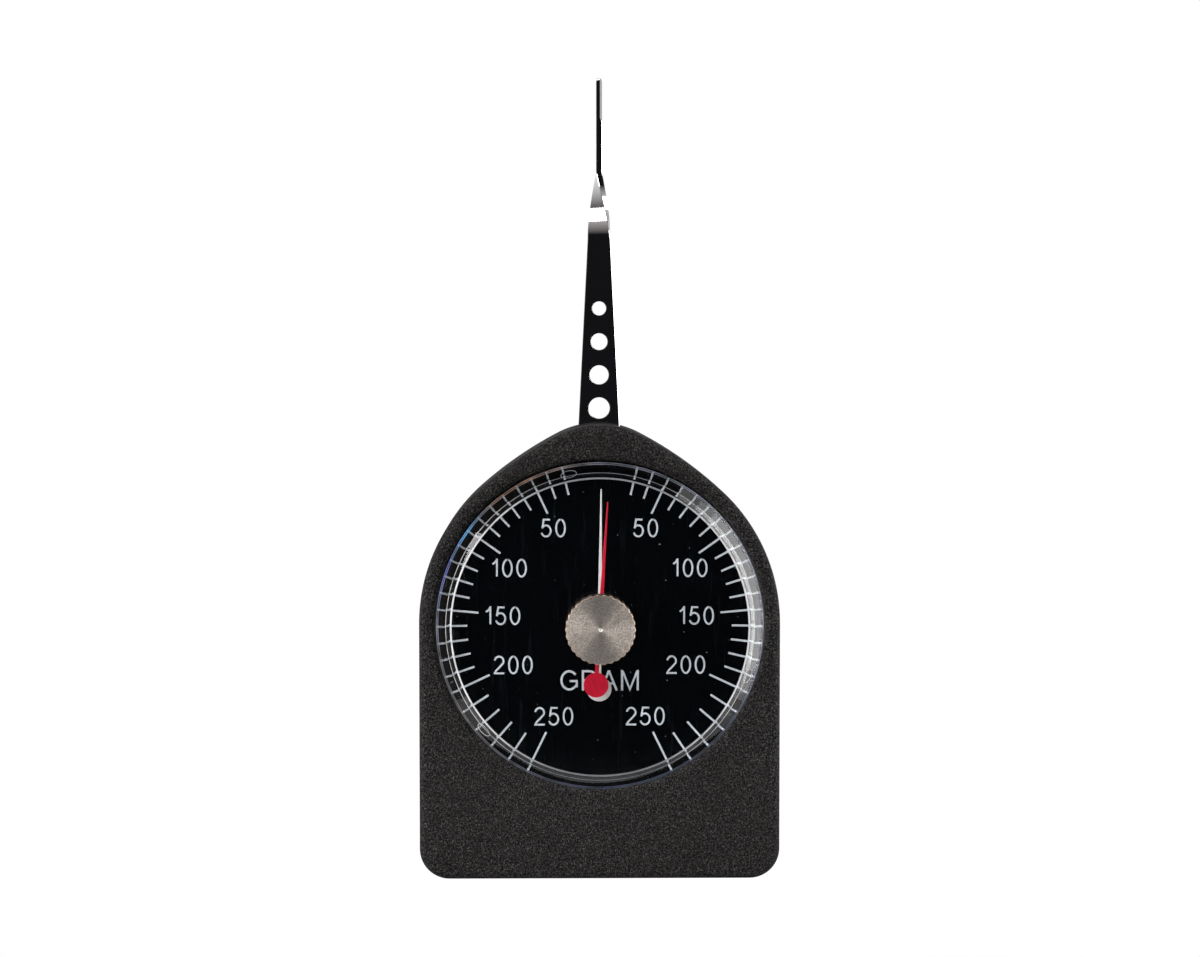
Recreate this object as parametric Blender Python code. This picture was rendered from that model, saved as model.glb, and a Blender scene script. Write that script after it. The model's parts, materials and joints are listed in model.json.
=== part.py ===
"""Pocket dial force gauge: die-cast case, geared pointer, drag pointer and a feeler lever.

Metres. +Z is up, the dial faces -Y and the gauge stands on the flat base of its case.
The origin is the middle of that base. Depths are counted from the front of the case.
"""

import math

import bmesh
import bpy
from mathutils import Matrix, Vector

for old in list(bpy.data.objects):
    bpy.data.objects.remove(old, do_unlink=True)

# Clearances
GAP = 0.0003
FIT = 0.00015
RUN = 0.00006
OVERRUN = 0.002
MERGE = 0.000001

# Case, seen from the front
CRYSTAL_RADIUS = 0.02705
RIM_WALL = 0.00265
DIAL_HEIGHT = 0.0425
SIDE_ARC_RISE = 0.0001
CROWN_HEIGHT = 0.0058
CROWN_RADIUS = 0.015
SHOULDER_RADIUS = 0.065
CORNER_RADIUS = 0.005
FRONT_EDGE_RADIUS = 0.0014
REAR_EDGE_RADIUS = 0.0012
WALL = 0.0022

# Case, from front to back
WELL_DEPTH = 0.0044
FLOOR_THICKNESS = 0.0015
PLATE_THICKNESS = 0.001
HAIRSPRING_WIDTH = 0.0006
LEVER_THICKNESS = 0.001
SECTOR_THICKNESS = 0.0008
FORK_BASE_THICKNESS = 0.0006
BRIDGE_THICKNESS = 0.0009
SPRING_WIDTH = 0.0021
HEAD_ROOM = 0.0007
COVER_THICKNESS = 0.0027

# Dial and crystal
DIAL_THICKNESS = 0.0007
DIAL_HOLE_RADIUS = 0.0018
DIAL_FOOT_RADIUS = 0.0008
DIAL_FOOT_REACH = 0.018
CRYSTAL_RISE = 0.0034
CRYSTAL_WALL = 0.0017
CRYSTAL_EDGE_RISE = 0.001
CRYSTAL_SHOULDER = 0.0025
WINDOW_THICKNESS = 0.0012
LUG_WIDTH = 0.002
LUG_REACH = 0.00045
LUG_HEIGHT = 0.0011
LUG_ANGLES_DEG = (-11.6, 108.4, 228.4)

# Reset knob and drag pointer
KNOB_RADIUS = 0.00575
KNOB_THICKNESS = 0.0038
KNOB_KNURLS = 30
KNURL_DEPTH = 0.00026
KNURL_LIFT_SHARES = (0.0, 0.7, 1.0, 0.7)
KNOB_CHAMFER = 0.0003
SPINDLE_RADIUS = 0.001
SPINDLE_NECK_SHARE = 0.7
BUSH_WALL = 0.0009
BUSH_FLANGE = 0.0009
BUSH_FLANGE_THICKNESS = 0.0005
WASHER_THICKNESS = 0.00025
WASHER_RADIUS = 0.0024
DRAG_HUB_RADIUS = 0.0016
DRAG_HUB_THICKNESS = 0.0007
DRAG_TIP_REACH = 0.0205
DRAG_DISC_REACH = 0.0099
DRAG_REST_DEG = 3.6

# Main pointer
POINTER_THICKNESS = 0.0003
POINTER_CLEARANCE = 0.0011
POINTER_HALF_WIDTH = 0.00032
POINTER_TIP_HALF_WIDTH = 0.0001
POINTER_RING_RADIUS = 0.0016
POINTER_DISC_RADIUS = 0.00206
POINTER_TIP_REACH = 0.0225
POINTER_DISC_REACH = 0.0107
POINTER_REST_DEG = 0.6
POINTER_RANGE_DEG = 160.0
HUB_RADIUS = 0.0013
HUB_THICKNESS = 0.0009
DRIVE_PIN_RADIUS = 0.00025
DRIVE_PIN_REACH = 0.0036

# Gears and arbor
PINION_TEETH = 13
WHEEL_TEETH = 182
SECTOR_TEETH = 15
PRESSURE_ANGLE_DEG = 20.0
PINION_ADDENDUM_SHARE = 0.85
SECTOR_ADDENDUM_SHARE = 0.7
DEDENDUM_SHARE = 1.25
BACKLASH = 0.00012
ARBOR_RADIUS = 0.0006
ARBOR_BUSH_WALL = 0.0006
COLLET_RADIUS = 0.0013
HAIRSPRING_THICKNESS = 0.00015
HAIRSPRING_RADIUS = 0.0052
HAIRSPRING_TURNS = 3.5
STUD_RADIUS = 0.0006

# Feeler lever
LEVER_LENGTH_OUT = 0.05775
LEVER_BASE_WIDTH = 0.0069
LEVER_TIP_WIDTH = 0.00115
LEVER_TAIL_LENGTH = 0.0125
LEVER_TAIL_WIDTH = 0.006
TWIST_START = 0.0308
TWIST_END = 0.0421
HOLE_RADII = (0.00178, 0.0016, 0.0014, 0.00117)
FIRST_HOLE_RISE = 0.00264
HOLE_PITCH = 0.00557
SHAFT_RADIUS = 0.0008
SHAFT_BUSH_WALL = 0.00045
PLATE_MARGIN = 0.0004
SLOT_CLEARANCE = 0.0006
SECTOR_NECK_HALF_WIDTH = 0.003
SECTOR_TOP = 0.0036
SECTOR_RIM = 0.0016
RIVET_REACHES = (0.0062, 0.0102)
RIVET_RADIUS = 0.0006
RIVET_HEAD_RADIUS = 0.0011
RIVET_HEAD_THICKNESS = 0.0004

# Leaf spring, its fork and its block
FORK_REACH = 0.0194
FORK_BASE_RADIUS = 0.0022
FORK_PRONG_RADIUS = 0.0005
SPRING_THICKNESS = 0.0007
SPRING_OVERLAP = 0.001
BLOCK_DROP = 0.0235
BLOCK_HEIGHT = 0.007
BLOCK_WIDTH = 0.0084
BLOCK_SCREW_SPREAD = 0.0026

# Plates, pillars and stops
PLATE_SCREW_SPREAD = 0.0125
PLATE_SCREW_RISE = 0.0135
PLATE_SCREW_DROP = 0.0165
PLATE_LOBE_RADIUS = 0.0026
PLATE_FOOT_SPREAD = 0.0032
PILLAR_RADIUS = 0.0013
PILLAR_SPIGOT_RADIUS = 0.0007
ARBOR_BRIDGE_SPREAD = 0.009
LEVER_BRIDGE_SPREAD = 0.0078
LEVER_BRIDGE_DROP = 0.0045
BRIDGE_LOBE_RADIUS = 0.0021
STOP_REACH = 0.01
STOP_RADIUS = 0.0006

# Screws
SMALL_SHANK_RADIUS = 0.0005
SMALL_HEAD_RADIUS = 0.001
SMALL_HEAD_THICKNESS = 0.00045
SMALL_SHANK_LENGTH = 0.002
PLATE_SHANK_RADIUS = 0.0007
PLATE_HEAD_RADIUS = 0.0014
COVER_SHANK_RADIUS = 0.0011
COVER_HEAD_RADIUS = 0.0023
COVER_HEAD_THICKNESS = 0.0013
COVER_SCREW_LENGTH = 0.0075
SCREW_SLOT_WIDTH = 0.0004
SCREW_SLOT_DEPTH = 0.00025
COVER_SLOT_WIDTH = 0.0007
COVER_SLOT_DEPTH = 0.0008
BOSS_RADIUS = 0.0029
BOSS_INSET = 0.0017
BOSS_STEP = 0.0003
BOSS_HEIGHT = 0.0062
UPPER_BOSS_ANGLE_DEG = 52.0

# Facets
ROUND_STEPS = 64
PIN_STEPS = 12
SCREW_STEPS = 12
SIDE_ARC_STEPS = 9
SHOULDER_STEPS = 4
CROWN_STEPS = 5
CORNER_STEPS = 5
EDGE_STEPS = 3
TWIST_STEPS = 10
SPIRAL_STEPS = 16
SMOOTH_ANGLE_DEG = 35.0

# Places that follow from the sizes above: depths from the front of the case
FLOOR_FRONT = WELL_DEPTH
FLOOR_REAR = FLOOR_FRONT + FLOOR_THICKNESS
DIAL_REAR = FLOOR_FRONT - GAP
DIAL_FRONT = DIAL_REAR - DIAL_THICKNESS
SKIRT_END = DIAL_FRONT - GAP
WINDOW_FRONT = -CRYSTAL_RISE
WINDOW_REAR = WINDOW_FRONT + WINDOW_THICKNESS
PLATE_FRONT = FLOOR_REAR + GAP
PLATE_REAR = PLATE_FRONT + PLATE_THICKNESS
HAIRSPRING_FRONT = PLATE_REAR + GAP
HAIRSPRING_REAR = HAIRSPRING_FRONT + HAIRSPRING_WIDTH
LEVER_FRONT = HAIRSPRING_REAR + GAP
LEVER_REAR = LEVER_FRONT + LEVER_THICKNESS
SECTOR_FRONT = LEVER_REAR + GAP
SECTOR_REAR = SECTOR_FRONT + SECTOR_THICKNESS
PINION_FRONT = SECTOR_FRONT - GAP
PINION_REAR = SECTOR_REAR + GAP
FORK_FRONT = SECTOR_REAR + GAP
FORK_REAR = FORK_FRONT + FORK_BASE_THICKNESS
BRIDGE_FRONT = PINION_REAR + GAP
BRIDGE_REAR = BRIDGE_FRONT + BRIDGE_THICKNESS
SPRING_FRONT = max(BRIDGE_REAR, FORK_REAR) + GAP
SPRING_REAR = SPRING_FRONT + SPRING_WIDTH
COVER_FRONT = SPRING_REAR + HEAD_ROOM
HOUSING_REAR = COVER_FRONT - GAP
CASE_DEPTH = COVER_FRONT + COVER_THICKNESS
WASHER_FRONT = WINDOW_REAR + FIT + BUSH_FLANGE_THICKNESS + FIT
DRAG_HUB_FRONT = WASHER_FRONT + WASHER_THICKNESS + FIT
DRAG_HUB_REAR = DRAG_HUB_FRONT + DRAG_HUB_THICKNESS
DRAG_POINTER_FRONT = DRAG_HUB_REAR + FIT
DRAG_POINTER_REAR = DRAG_POINTER_FRONT + POINTER_THICKNESS
POINTER_FRONT = DRAG_POINTER_REAR + POINTER_CLEARANCE
POINTER_REAR = POINTER_FRONT + POINTER_THICKNESS

# Places seen from the front
CORNERS = ("upper_left", "upper_right", "lower_left", "lower_right")
BORE_RADIUS = CRYSTAL_RADIUS + GAP
WINDOW_RADIUS = CRYSTAL_RADIUS - CRYSTAL_SHOULDER
SIDE_RADIUS = BORE_RADIUS + RIM_WALL
CROWN_TOP = DIAL_HEIGHT + BORE_RADIUS + CROWN_HEIGHT
SIDE_ARC_HEIGHT = DIAL_HEIGHT + SIDE_ARC_RISE
CROWN_ARC_HEIGHT = CROWN_TOP - CROWN_RADIUS
SHAFT_BUSH_RADIUS = SHAFT_RADIUS + RUN + SHAFT_BUSH_WALL
PIVOT_DEPTH = WALL + GAP + PLATE_MARGIN + FIT + SHAFT_BUSH_RADIUS
PIVOT_HEIGHT = CROWN_TOP - PIVOT_DEPTH
CENTRE_DISTANCE = PIVOT_HEIGHT - DIAL_HEIGHT
MODULE = 2 * CENTRE_DISTANCE / (PINION_TEETH + WHEEL_TEETH)
SECTOR_RADIUS = MODULE * WHEEL_TEETH / 2
LEVER_RANGE = math.radians(POINTER_RANGE_DEG) * PINION_TEETH / WHEEL_TEETH
LEVER_TOP = PIVOT_DEPTH + LEVER_LENGTH_OUT
ARBOR_BUSH_RADIUS = ARBOR_RADIUS + RUN + ARBOR_BUSH_WALL
BLOCK_TOP = DIAL_HEIGHT - BLOCK_DROP


def depth(distance):
    """World Y of a depth behind the front of the case."""
    return distance - CASE_DEPTH / 2


def material(name, colour, roughness, metallic=0.0, transmission=0.0):
    made = bpy.data.materials.new(name)
    made.use_nodes = True
    shader = made.node_tree.nodes["Principled BSDF"]
    shader.inputs["Base Color"].default_value = (*colour, 1.0)
    shader.inputs["Roughness"].default_value = roughness
    shader.inputs["Metallic"].default_value = metallic
    shader.inputs["Transmission Weight"].default_value = transmission
    made.diffuse_color = (*colour, 1.0)
    return made


TEXTURED_PAINT = material("textured_black_paint", (0.021, 0.020, 0.021), 0.6)
DIAL_BLACK = material("dial_black", (0.006, 0.008, 0.010), 0.45)
CLEAR_PLASTIC = material("clear_plastic", (0.95, 0.97, 1.0), 0.03, 0.0, 1.0)
POLISHED_STEEL = material("polished_steel", (0.62, 0.62, 0.64), 0.08, 1.0)
SPRING_STEEL = material("spring_steel", (0.35, 0.36, 0.40), 0.3, 1.0)
SCREW_STEEL = material("screw_steel", (0.30, 0.30, 0.31), 0.35, 1.0)
NICKEL = material("turned_nickel", (0.42, 0.36, 0.31), 0.35, 1.0)
BRASS = material("brass", (0.72, 0.50, 0.20), 0.3, 1.0)
WHITE_PAINT = material("white_paint", (0.78, 0.77, 0.74), 0.5)
RED_PAINT = material("red_paint", (0.62, 0.02, 0.05), 0.45)


def axis_empty(name, height, turn_deg=0.0):
    """An empty on a turning axis, which runs along Y at this height."""
    empty = bpy.data.objects.new(name, None)
    empty.location = (0, 0, height)
    empty.rotation_euler = (0, math.radians(turn_deg), 0)
    bpy.context.scene.collection.objects.link(empty)
    return empty


DIAL_AXIS = axis_empty("dial_axis", DIAL_HEIGHT)
POINTER_AXIS = axis_empty("pointer_axis", DIAL_HEIGHT)
DRAG_AXIS = axis_empty("drag_axis", DIAL_HEIGHT, DRAG_REST_DEG)
LEVER_AXIS = axis_empty("lever_axis", PIVOT_HEIGHT)


def new_object(name, mesh, parent=None, finish=None, place=(0, 0, 0), turn_deg=0.0):
    made = bpy.data.objects.new(name, mesh)
    made.parent = parent
    made.location = place
    made.rotation_euler = (0, math.radians(turn_deg), 0)
    if finish and not mesh.materials:
        mesh.materials.append(finish)
    bpy.context.scene.collection.objects.link(made)
    return made


def finished_mesh(bm):
    """Turns the faces outwards, shades round faces smooth and returns the mesh."""
    bmesh.ops.recalc_face_normals(bm, faces=bm.faces)
    mesh = bpy.data.meshes.new("shape")
    bm.to_mesh(mesh)
    bm.free()
    mesh.shade_smooth()
    mesh.set_sharp_from_angle(angle=math.radians(SMOOTH_ANGLE_DEG))
    return mesh


def add_loft(bm, outlines, depths):
    """Closed solid through outlines of (x, z) points, one at each depth, front first."""
    rings = []
    for outline, distance in zip(outlines, depths):
        rings.append([bm.verts.new((x, depth(distance), z)) for x, z in outline])
    for near, far in zip(rings, rings[1:]):
        for i in range(len(near)):
            j = (i + 1) % len(near)
            bm.faces.new((near[i], near[j], far[j], far[i]))
    bm.faces.new(rings[0])
    bm.faces.new(rings[-1])


def add_prism(bm, outline, front, rear):
    add_loft(bm, [outline, outline], [front, rear])


def prism(outline, front, rear):
    bm = bmesh.new()
    add_prism(bm, outline, front, rear)
    return finished_mesh(bm)


def add_turned(bm, profile, steps, x=0.0, z=0.0, ring=False):
    """Turns (radius, depth) points about an axis along Y. A ring's profile is a closed loop."""
    rows = []
    for radius, distance in profile:
        if radius == 0:
            rows.append([bm.verts.new((x, depth(distance), z))])
            continue
        row = []
        for i in range(steps):
            angle = math.tau * i / steps
            row.append(
                bm.verts.new(
                    (x + radius * math.sin(angle), depth(distance), z + radius * math.cos(angle))
                )
            )
        rows.append(row)
    pairs = list(zip(rows, rows[1:]))
    if ring:
        pairs.append((rows[-1], rows[0]))
    for near, far in pairs:
        for i in range(steps):
            j = (i + 1) % steps
            corners = [near[i % len(near)], near[j % len(near)]]
            corners += [far[j % len(far)], far[i % len(far)]]
            bm.faces.new(list(dict.fromkeys(corners)))


def turned(profile, steps, x=0.0, z=0.0, ring=False):
    bm = bmesh.new()
    add_turned(bm, profile, steps, x, z, ring)
    return finished_mesh(bm)


def cylinder_profile(radius, front, rear):
    return [(0, front), (radius, front), (radius, rear), (0, rear)]


def tube_profile(inner, outer, front, rear):
    return [(inner, front), (outer, front), (outer, rear), (inner, rear)]


def circle(radius, x=0.0, z=0.0, steps=PIN_STEPS):
    """Points of a circle, clockwise as seen from the front."""
    angles = [math.tau * i / steps for i in range(steps)]
    return [(x + radius * math.sin(a), z + radius * math.cos(a)) for a in angles]


def rounded_hull(circles, steps=PIN_STEPS):
    """Convex outline round circles given as (radius, x, z)."""
    points = []
    for radius, x, z in circles:
        points += circle(radius, x, z, steps)
    points = sorted(set(points))
    chains = []
    for ordered in (points, points[::-1]):
        chain = []
        for x, z in ordered:
            while len(chain) > 1:
                (ax, az), (bx, bz) = chain[-2:]
                if (bx - ax) * (z - az) - (bz - az) * (x - ax) > 0:
                    break
                chain.pop()
            chain.append((x, z))
        chains += chain[:-1]
    return chains


def box_outline(x0, x1, z0, z1):
    return [(x0, z0), (x1, z0), (x1, z1), (x0, z1)]


def guide(mesh, parent=None, place=(0, 0, 0)):
    """A hidden object that only cuts or fills another."""
    made = new_object("guide", mesh, parent, None, place)
    made.hide_render = True
    made.display_type = "WIRE"
    return made


def combine(target, tool, operation):
    modifier = target.modifiers.new(operation.lower(), "BOOLEAN")
    modifier.object = tool
    modifier.operation = operation
    modifier.solver = "EXACT"
    weld = target.modifiers.new("weld", "WELD")
    weld.merge_threshold = MERGE


def cut(target, tool):
    combine(target, tool, "DIFFERENCE")


def join(target, tool):
    combine(target, tool, "UNION")


def evaluated_mesh(target):
    """The mesh of an object after its modifiers, so that copies can share it."""
    bpy.context.view_layer.update()
    graph = bpy.context.evaluated_depsgraph_get()
    mesh = bpy.data.meshes.new_from_object(target.evaluated_get(graph))
    bpy.data.objects.remove(target, do_unlink=True)
    return mesh


def arc(radius, centre, start, end, steps):
    """Points of an arc, with angles counted clockwise from straight up."""
    points = []
    for i in range(steps + 1):
        angle = start + (end - start) * i / steps
        points.append((centre[0] + radius * math.sin(angle), centre[1] + radius * math.cos(angle)))
    return points


def case_outline(inset=0.0):
    """Outline of the case, drawn in by the inset: crown, shoulder, side and corner arcs, all tangent."""
    rise = CROWN_ARC_HEIGHT - SIDE_ARC_HEIGHT
    to_side = SHOULDER_RADIUS - SIDE_RADIUS
    to_crown = SHOULDER_RADIUS - CROWN_RADIUS
    drop = (to_crown**2 - to_side**2 - rise**2) / (2 * rise)
    offset = math.sqrt(to_side**2 - drop**2)
    crown_end = math.atan2(offset, rise + drop)
    shoulder_end = math.atan2(offset, drop)
    centre = (-offset, SIDE_ARC_HEIGHT - drop)
    corner = (SIDE_RADIUS - CORNER_RADIUS, CORNER_RADIUS)
    right = arc(CROWN_RADIUS - inset, (0, CROWN_ARC_HEIGHT), 0, crown_end, CROWN_STEPS)
    right += arc(SHOULDER_RADIUS - inset, centre, crown_end, shoulder_end, SHOULDER_STEPS)[1:]
    right += arc(SIDE_RADIUS - inset, (0, SIDE_ARC_HEIGHT), shoulder_end, math.pi / 2, SIDE_ARC_STEPS)[1:]
    right += arc(CORNER_RADIUS - inset, corner, math.pi / 2, math.pi, CORNER_STEPS)
    left = [(-x, z) for x, z in right[:0:-1]]
    return right + left


def edge_rounding(radius):
    """(inset, depth) pairs of a rounded edge, from the face inwards."""
    pairs = []
    for i in range(EDGE_STEPS + 1):
        angle = math.pi / 2 * i / EDGE_STEPS
        pairs.append((radius * (1 - math.sin(angle)), radius * (1 - math.cos(angle))))
    return pairs


def cover_screw_places():
    """(x, z) of the four screws that hold the rear cover."""
    reach = SIDE_RADIUS - WALL - BOSS_INSET
    angle = math.radians(UPPER_BOSS_ANGLE_DEG)
    upper = (reach * math.sin(angle), SIDE_ARC_HEIGHT + reach * math.cos(angle))
    return [(side * x, z) for x, z in (upper, (reach, BOSS_HEIGHT)) for side in (-1, 1)]


def plate_screw_places():
    """(x, z) of the four screws that hold the movement plate."""
    heights = (DIAL_HEIGHT + PLATE_SCREW_RISE, DIAL_HEIGHT - PLATE_SCREW_DROP)
    return [(side * PLATE_SCREW_SPREAD, z) for z in heights for side in (-1, 1)]


def lug_box(grow, front, rear):
    """Mesh of the three lugs, or of their pockets with the growth as clearance."""
    bm = bmesh.new()
    half = LUG_WIDTH / 2 + grow
    inner = CRYSTAL_RADIUS - CRYSTAL_WALL / 2
    outer = CRYSTAL_RADIUS + LUG_REACH + grow
    for angle in LUG_ANGLES_DEG:
        made = bmesh.new()
        add_prism(made, box_outline(-half, half, inner, outer), front, rear)
        made.transform(Matrix.Rotation(math.radians(angle), 4, "Y"))
        part = bpy.data.meshes.new("lug")
        made.to_mesh(part)
        made.free()
        bm.from_mesh(part)
        bpy.data.meshes.remove(part)
    return finished_mesh(bm)


def make_housing():
    edge = edge_rounding(FRONT_EDGE_RADIUS)
    outlines = [case_outline(inset) for inset, _ in edge] + [case_outline()]
    depths = [distance for _, distance in edge] + [HOUSING_REAR]
    bm = bmesh.new()
    add_loft(bm, outlines, depths)
    housing = new_object("case_housing", finished_mesh(bm), None, TEXTURED_PAINT)
    cut(housing, guide(prism(case_outline(WALL), FLOOR_REAR, HOUSING_REAR + OVERRUN)))

    bosses = bmesh.new()
    for x, z in cover_screw_places():
        sunk = FLOOR_REAR - FLOOR_THICKNESS / 2
        add_turned(bosses, cylinder_profile(BOSS_RADIUS, sunk, HOUSING_REAR - BOSS_STEP), PIN_STEPS, x, z)
    join(housing, guide(finished_mesh(bosses)))

    well = turned(cylinder_profile(BORE_RADIUS, -OVERRUN, FLOOR_FRONT), ROUND_STEPS, 0, DIAL_HEIGHT)
    cut(housing, guide(well))
    pockets = lug_box(GAP, SKIRT_END - LUG_HEIGHT - GAP, SKIRT_END + GAP / 2)
    cut(housing, guide(pockets, DIAL_AXIS))

    holes = bmesh.new()
    for x, z in cover_screw_places():
        end = COVER_FRONT + COVER_THICKNESS - COVER_SCREW_LENGTH - GAP
        profile = cylinder_profile(COVER_SHANK_RADIUS + FIT, end, HOUSING_REAR + OVERRUN)
        add_turned(holes, profile, PIN_STEPS, x, z)
    through = (FLOOR_FRONT - OVERRUN / 2, FLOOR_REAR + OVERRUN / 2)
    for x, z in plate_screw_places():
        add_turned(holes, cylinder_profile(PLATE_SHANK_RADIUS + FIT, *through), PIN_STEPS, x, z)
    for side in (-1, 1):
        profile = cylinder_profile(DIAL_FOOT_RADIUS + FIT, *through)
        add_turned(holes, profile, PIN_STEPS, side * DIAL_FOOT_REACH, DIAL_HEIGHT)
    profile = cylinder_profile(ARBOR_BUSH_RADIUS + FLOOR_THICKNESS, *through)
    add_turned(holes, profile, PIN_STEPS * 2, 0, DIAL_HEIGHT)
    cut(housing, guide(finished_mesh(holes)))

    half = LEVER_BASE_WIDTH / 2 + math.sin(LEVER_RANGE) * PIVOT_DEPTH + GAP
    inner = CROWN_RADIUS - WALL
    low = CROWN_ARC_HEIGHT + math.sqrt(inner**2 - half**2) - GAP
    slot = prism(
        box_outline(-half, half, low, CROWN_TOP + OVERRUN),
        LEVER_FRONT - SLOT_CLEARANCE,
        LEVER_REAR + SLOT_CLEARANCE,
    )
    cut(housing, guide(slot))


def make_rear_cover():
    edge = edge_rounding(REAR_EDGE_RADIUS)
    outlines = [case_outline()] + [case_outline(inset) for inset, _ in edge[::-1]]
    depths = [COVER_FRONT] + [CASE_DEPTH - distance for _, distance in edge[::-1]]
    bm = bmesh.new()
    add_loft(bm, outlines, depths)
    cover = new_object("rear_cover", finished_mesh(bm), None, TEXTURED_PAINT)
    holes = bmesh.new()
    for x, z in cover_screw_places():
        head = COVER_HEAD_RADIUS + FIT
        shank = COVER_SHANK_RADIUS + FIT
        profile = [
            (0, COVER_FRONT - OVERRUN),
            (shank, COVER_FRONT - OVERRUN),
            (shank, CASE_DEPTH - COVER_HEAD_THICKNESS - FIT),
            (head, CASE_DEPTH - FIT),
            (head, CASE_DEPTH + OVERRUN),
            (0, CASE_DEPTH + OVERRUN),
        ]
        add_turned(holes, profile, SCREW_STEPS, x, z)
    cut(cover, guide(finished_mesh(holes)))


def slot_outline(length, width):
    return box_outline(-length, length, -width / 2, width / 2)


def cross_outline(length, width):
    half = width / 2
    quarter = [(half, length), (half, half), (length, half)]
    points = []
    for turn in range(4):
        for x, z in quarter:
            for _ in range(turn):
                x, z = z, -x
            points.append((x, z))
    return points


def screw_mesh(profile, slot, head_rear, slot_depth):
    body = new_object("screw_blank", turned(profile, SCREW_STEPS), None, SCREW_STEEL)
    tool = guide(prism(slot, head_rear - slot_depth, head_rear + OVERRUN))
    cut(body, tool)
    mesh = evaluated_mesh(body)
    bpy.data.objects.remove(tool, do_unlink=True)
    return mesh


def pan_screw_mesh(shank_radius, head_radius, seat, length):
    """Slotted screw whose head sits behind the seat depth."""
    rear = seat + FIT + SMALL_HEAD_THICKNESS
    profile = [
        (0, seat - length),
        (shank_radius, seat - length),
        (shank_radius, seat + FIT),
        (head_radius, seat + FIT),
        (head_radius, rear),
        (0, rear),
    ]
    slot = slot_outline(head_radius + OVERRUN, SCREW_SLOT_WIDTH)
    return screw_mesh(profile, slot, rear, SCREW_SLOT_DEPTH)


def place_screws(names, mesh, places):
    for name, (x, z) in zip(names, places):
        new_object(name, mesh, None, SCREW_STEEL, (x, 0, z))


def make_cover_screws():
    rear = CASE_DEPTH - FIT
    front = CASE_DEPTH - COVER_SCREW_LENGTH
    profile = [
        (0, front),
        (COVER_SHANK_RADIUS, front),
        (COVER_SHANK_RADIUS, CASE_DEPTH - COVER_HEAD_THICKNESS),
        (COVER_HEAD_RADIUS, rear),
        (0, rear),
    ]
    cross = cross_outline(COVER_HEAD_RADIUS / 2, COVER_SLOT_WIDTH)
    mesh = screw_mesh(profile, cross, rear, COVER_SLOT_DEPTH)
    names = ["cover_screw_" + corner for corner in CORNERS]
    place_screws(names, mesh, cover_screw_places())


def make_dial():
    bm = bmesh.new()
    profile = tube_profile(DIAL_HOLE_RADIUS, CRYSTAL_RADIUS, DIAL_FRONT, DIAL_REAR)
    add_turned(bm, profile, ROUND_STEPS, ring=True)
    dial = new_object("dial_plate", finished_mesh(bm), DIAL_AXIS, DIAL_BLACK)
    feet = bmesh.new()
    middle = (DIAL_FRONT + DIAL_REAR) / 2
    for side in (-1, 1):
        profile = cylinder_profile(DIAL_FOOT_RADIUS, middle, FLOOR_REAR)
        add_turned(feet, profile, PIN_STEPS, side * DIAL_FOOT_REACH)
    join(dial, guide(finished_mesh(feet), DIAL_AXIS))


def make_crystal():
    hole = SPINDLE_RADIUS + RUN + BUSH_WALL + FIT
    inner = CRYSTAL_RADIUS - CRYSTAL_WALL
    chamfer = CRYSTAL_SHOULDER / 4
    profile = [
        (hole, WINDOW_FRONT),
        (WINDOW_RADIUS, WINDOW_FRONT),
        (CRYSTAL_RADIUS, -CRYSTAL_EDGE_RISE),
        (CRYSTAL_RADIUS, SKIRT_END),
        (inner, SKIRT_END),
        (inner, WINDOW_REAR + chamfer),
        (inner - chamfer, WINDOW_REAR),
        (hole, WINDOW_REAR),
    ]
    crystal = new_object("crystal", turned(profile, ROUND_STEPS, ring=True), DIAL_AXIS, CLEAR_PLASTIC)
    join(crystal, guide(lug_box(0, SKIRT_END - LUG_HEIGHT, SKIRT_END - GAP / 2), DIAL_AXIS))


def make_crystal_bush():
    bore = SPINDLE_RADIUS + RUN
    body = bore + BUSH_WALL
    flange_rear = WINDOW_REAR + FIT + BUSH_FLANGE_THICKNESS
    profile = [
        (bore, WINDOW_FRONT),
        (body, WINDOW_FRONT),
        (body, WINDOW_REAR + FIT),
        (body + BUSH_FLANGE, WINDOW_REAR + FIT),
        (body + BUSH_FLANGE, flange_rear),
        (bore, flange_rear),
    ]
    new_object("crystal_bush", turned(profile, PIN_STEPS * 2, ring=True), DIAL_AXIS, BRASS)


def knurled_outline(radius):
    """Outline with scallops: four points to each knurl."""
    points = []
    total = KNOB_KNURLS * len(KNURL_LIFT_SHARES)
    for i in range(total):
        angle = math.tau * i / total
        reach = radius - KNURL_DEPTH * (1 - KNURL_LIFT_SHARES[i % len(KNURL_LIFT_SHARES)])
        points.append((reach * math.sin(angle), reach * math.cos(angle)))
    return points


def make_knob():
    rear = WINDOW_FRONT - GAP
    front = rear - KNOB_THICKNESS
    top = circle(KNOB_RADIUS - KNURL_DEPTH - KNOB_CHAMFER, steps=len(knurled_outline(KNOB_RADIUS)))
    wide = knurled_outline(KNOB_RADIUS)
    bm = bmesh.new()
    add_loft(bm, [top, wide, wide, top], [front, front + KNOB_CHAMFER, rear - KNOB_CHAMFER, rear])
    knob = new_object("reset_knob", finished_mesh(bm), DRAG_AXIS, NICKEL)
    bore_end = front + KNOB_THICKNESS / 3
    bore = turned(cylinder_profile(SPINDLE_RADIUS + FIT, bore_end, rear + OVERRUN), PIN_STEPS)
    cut(knob, guide(bore, DRAG_AXIS))


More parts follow.
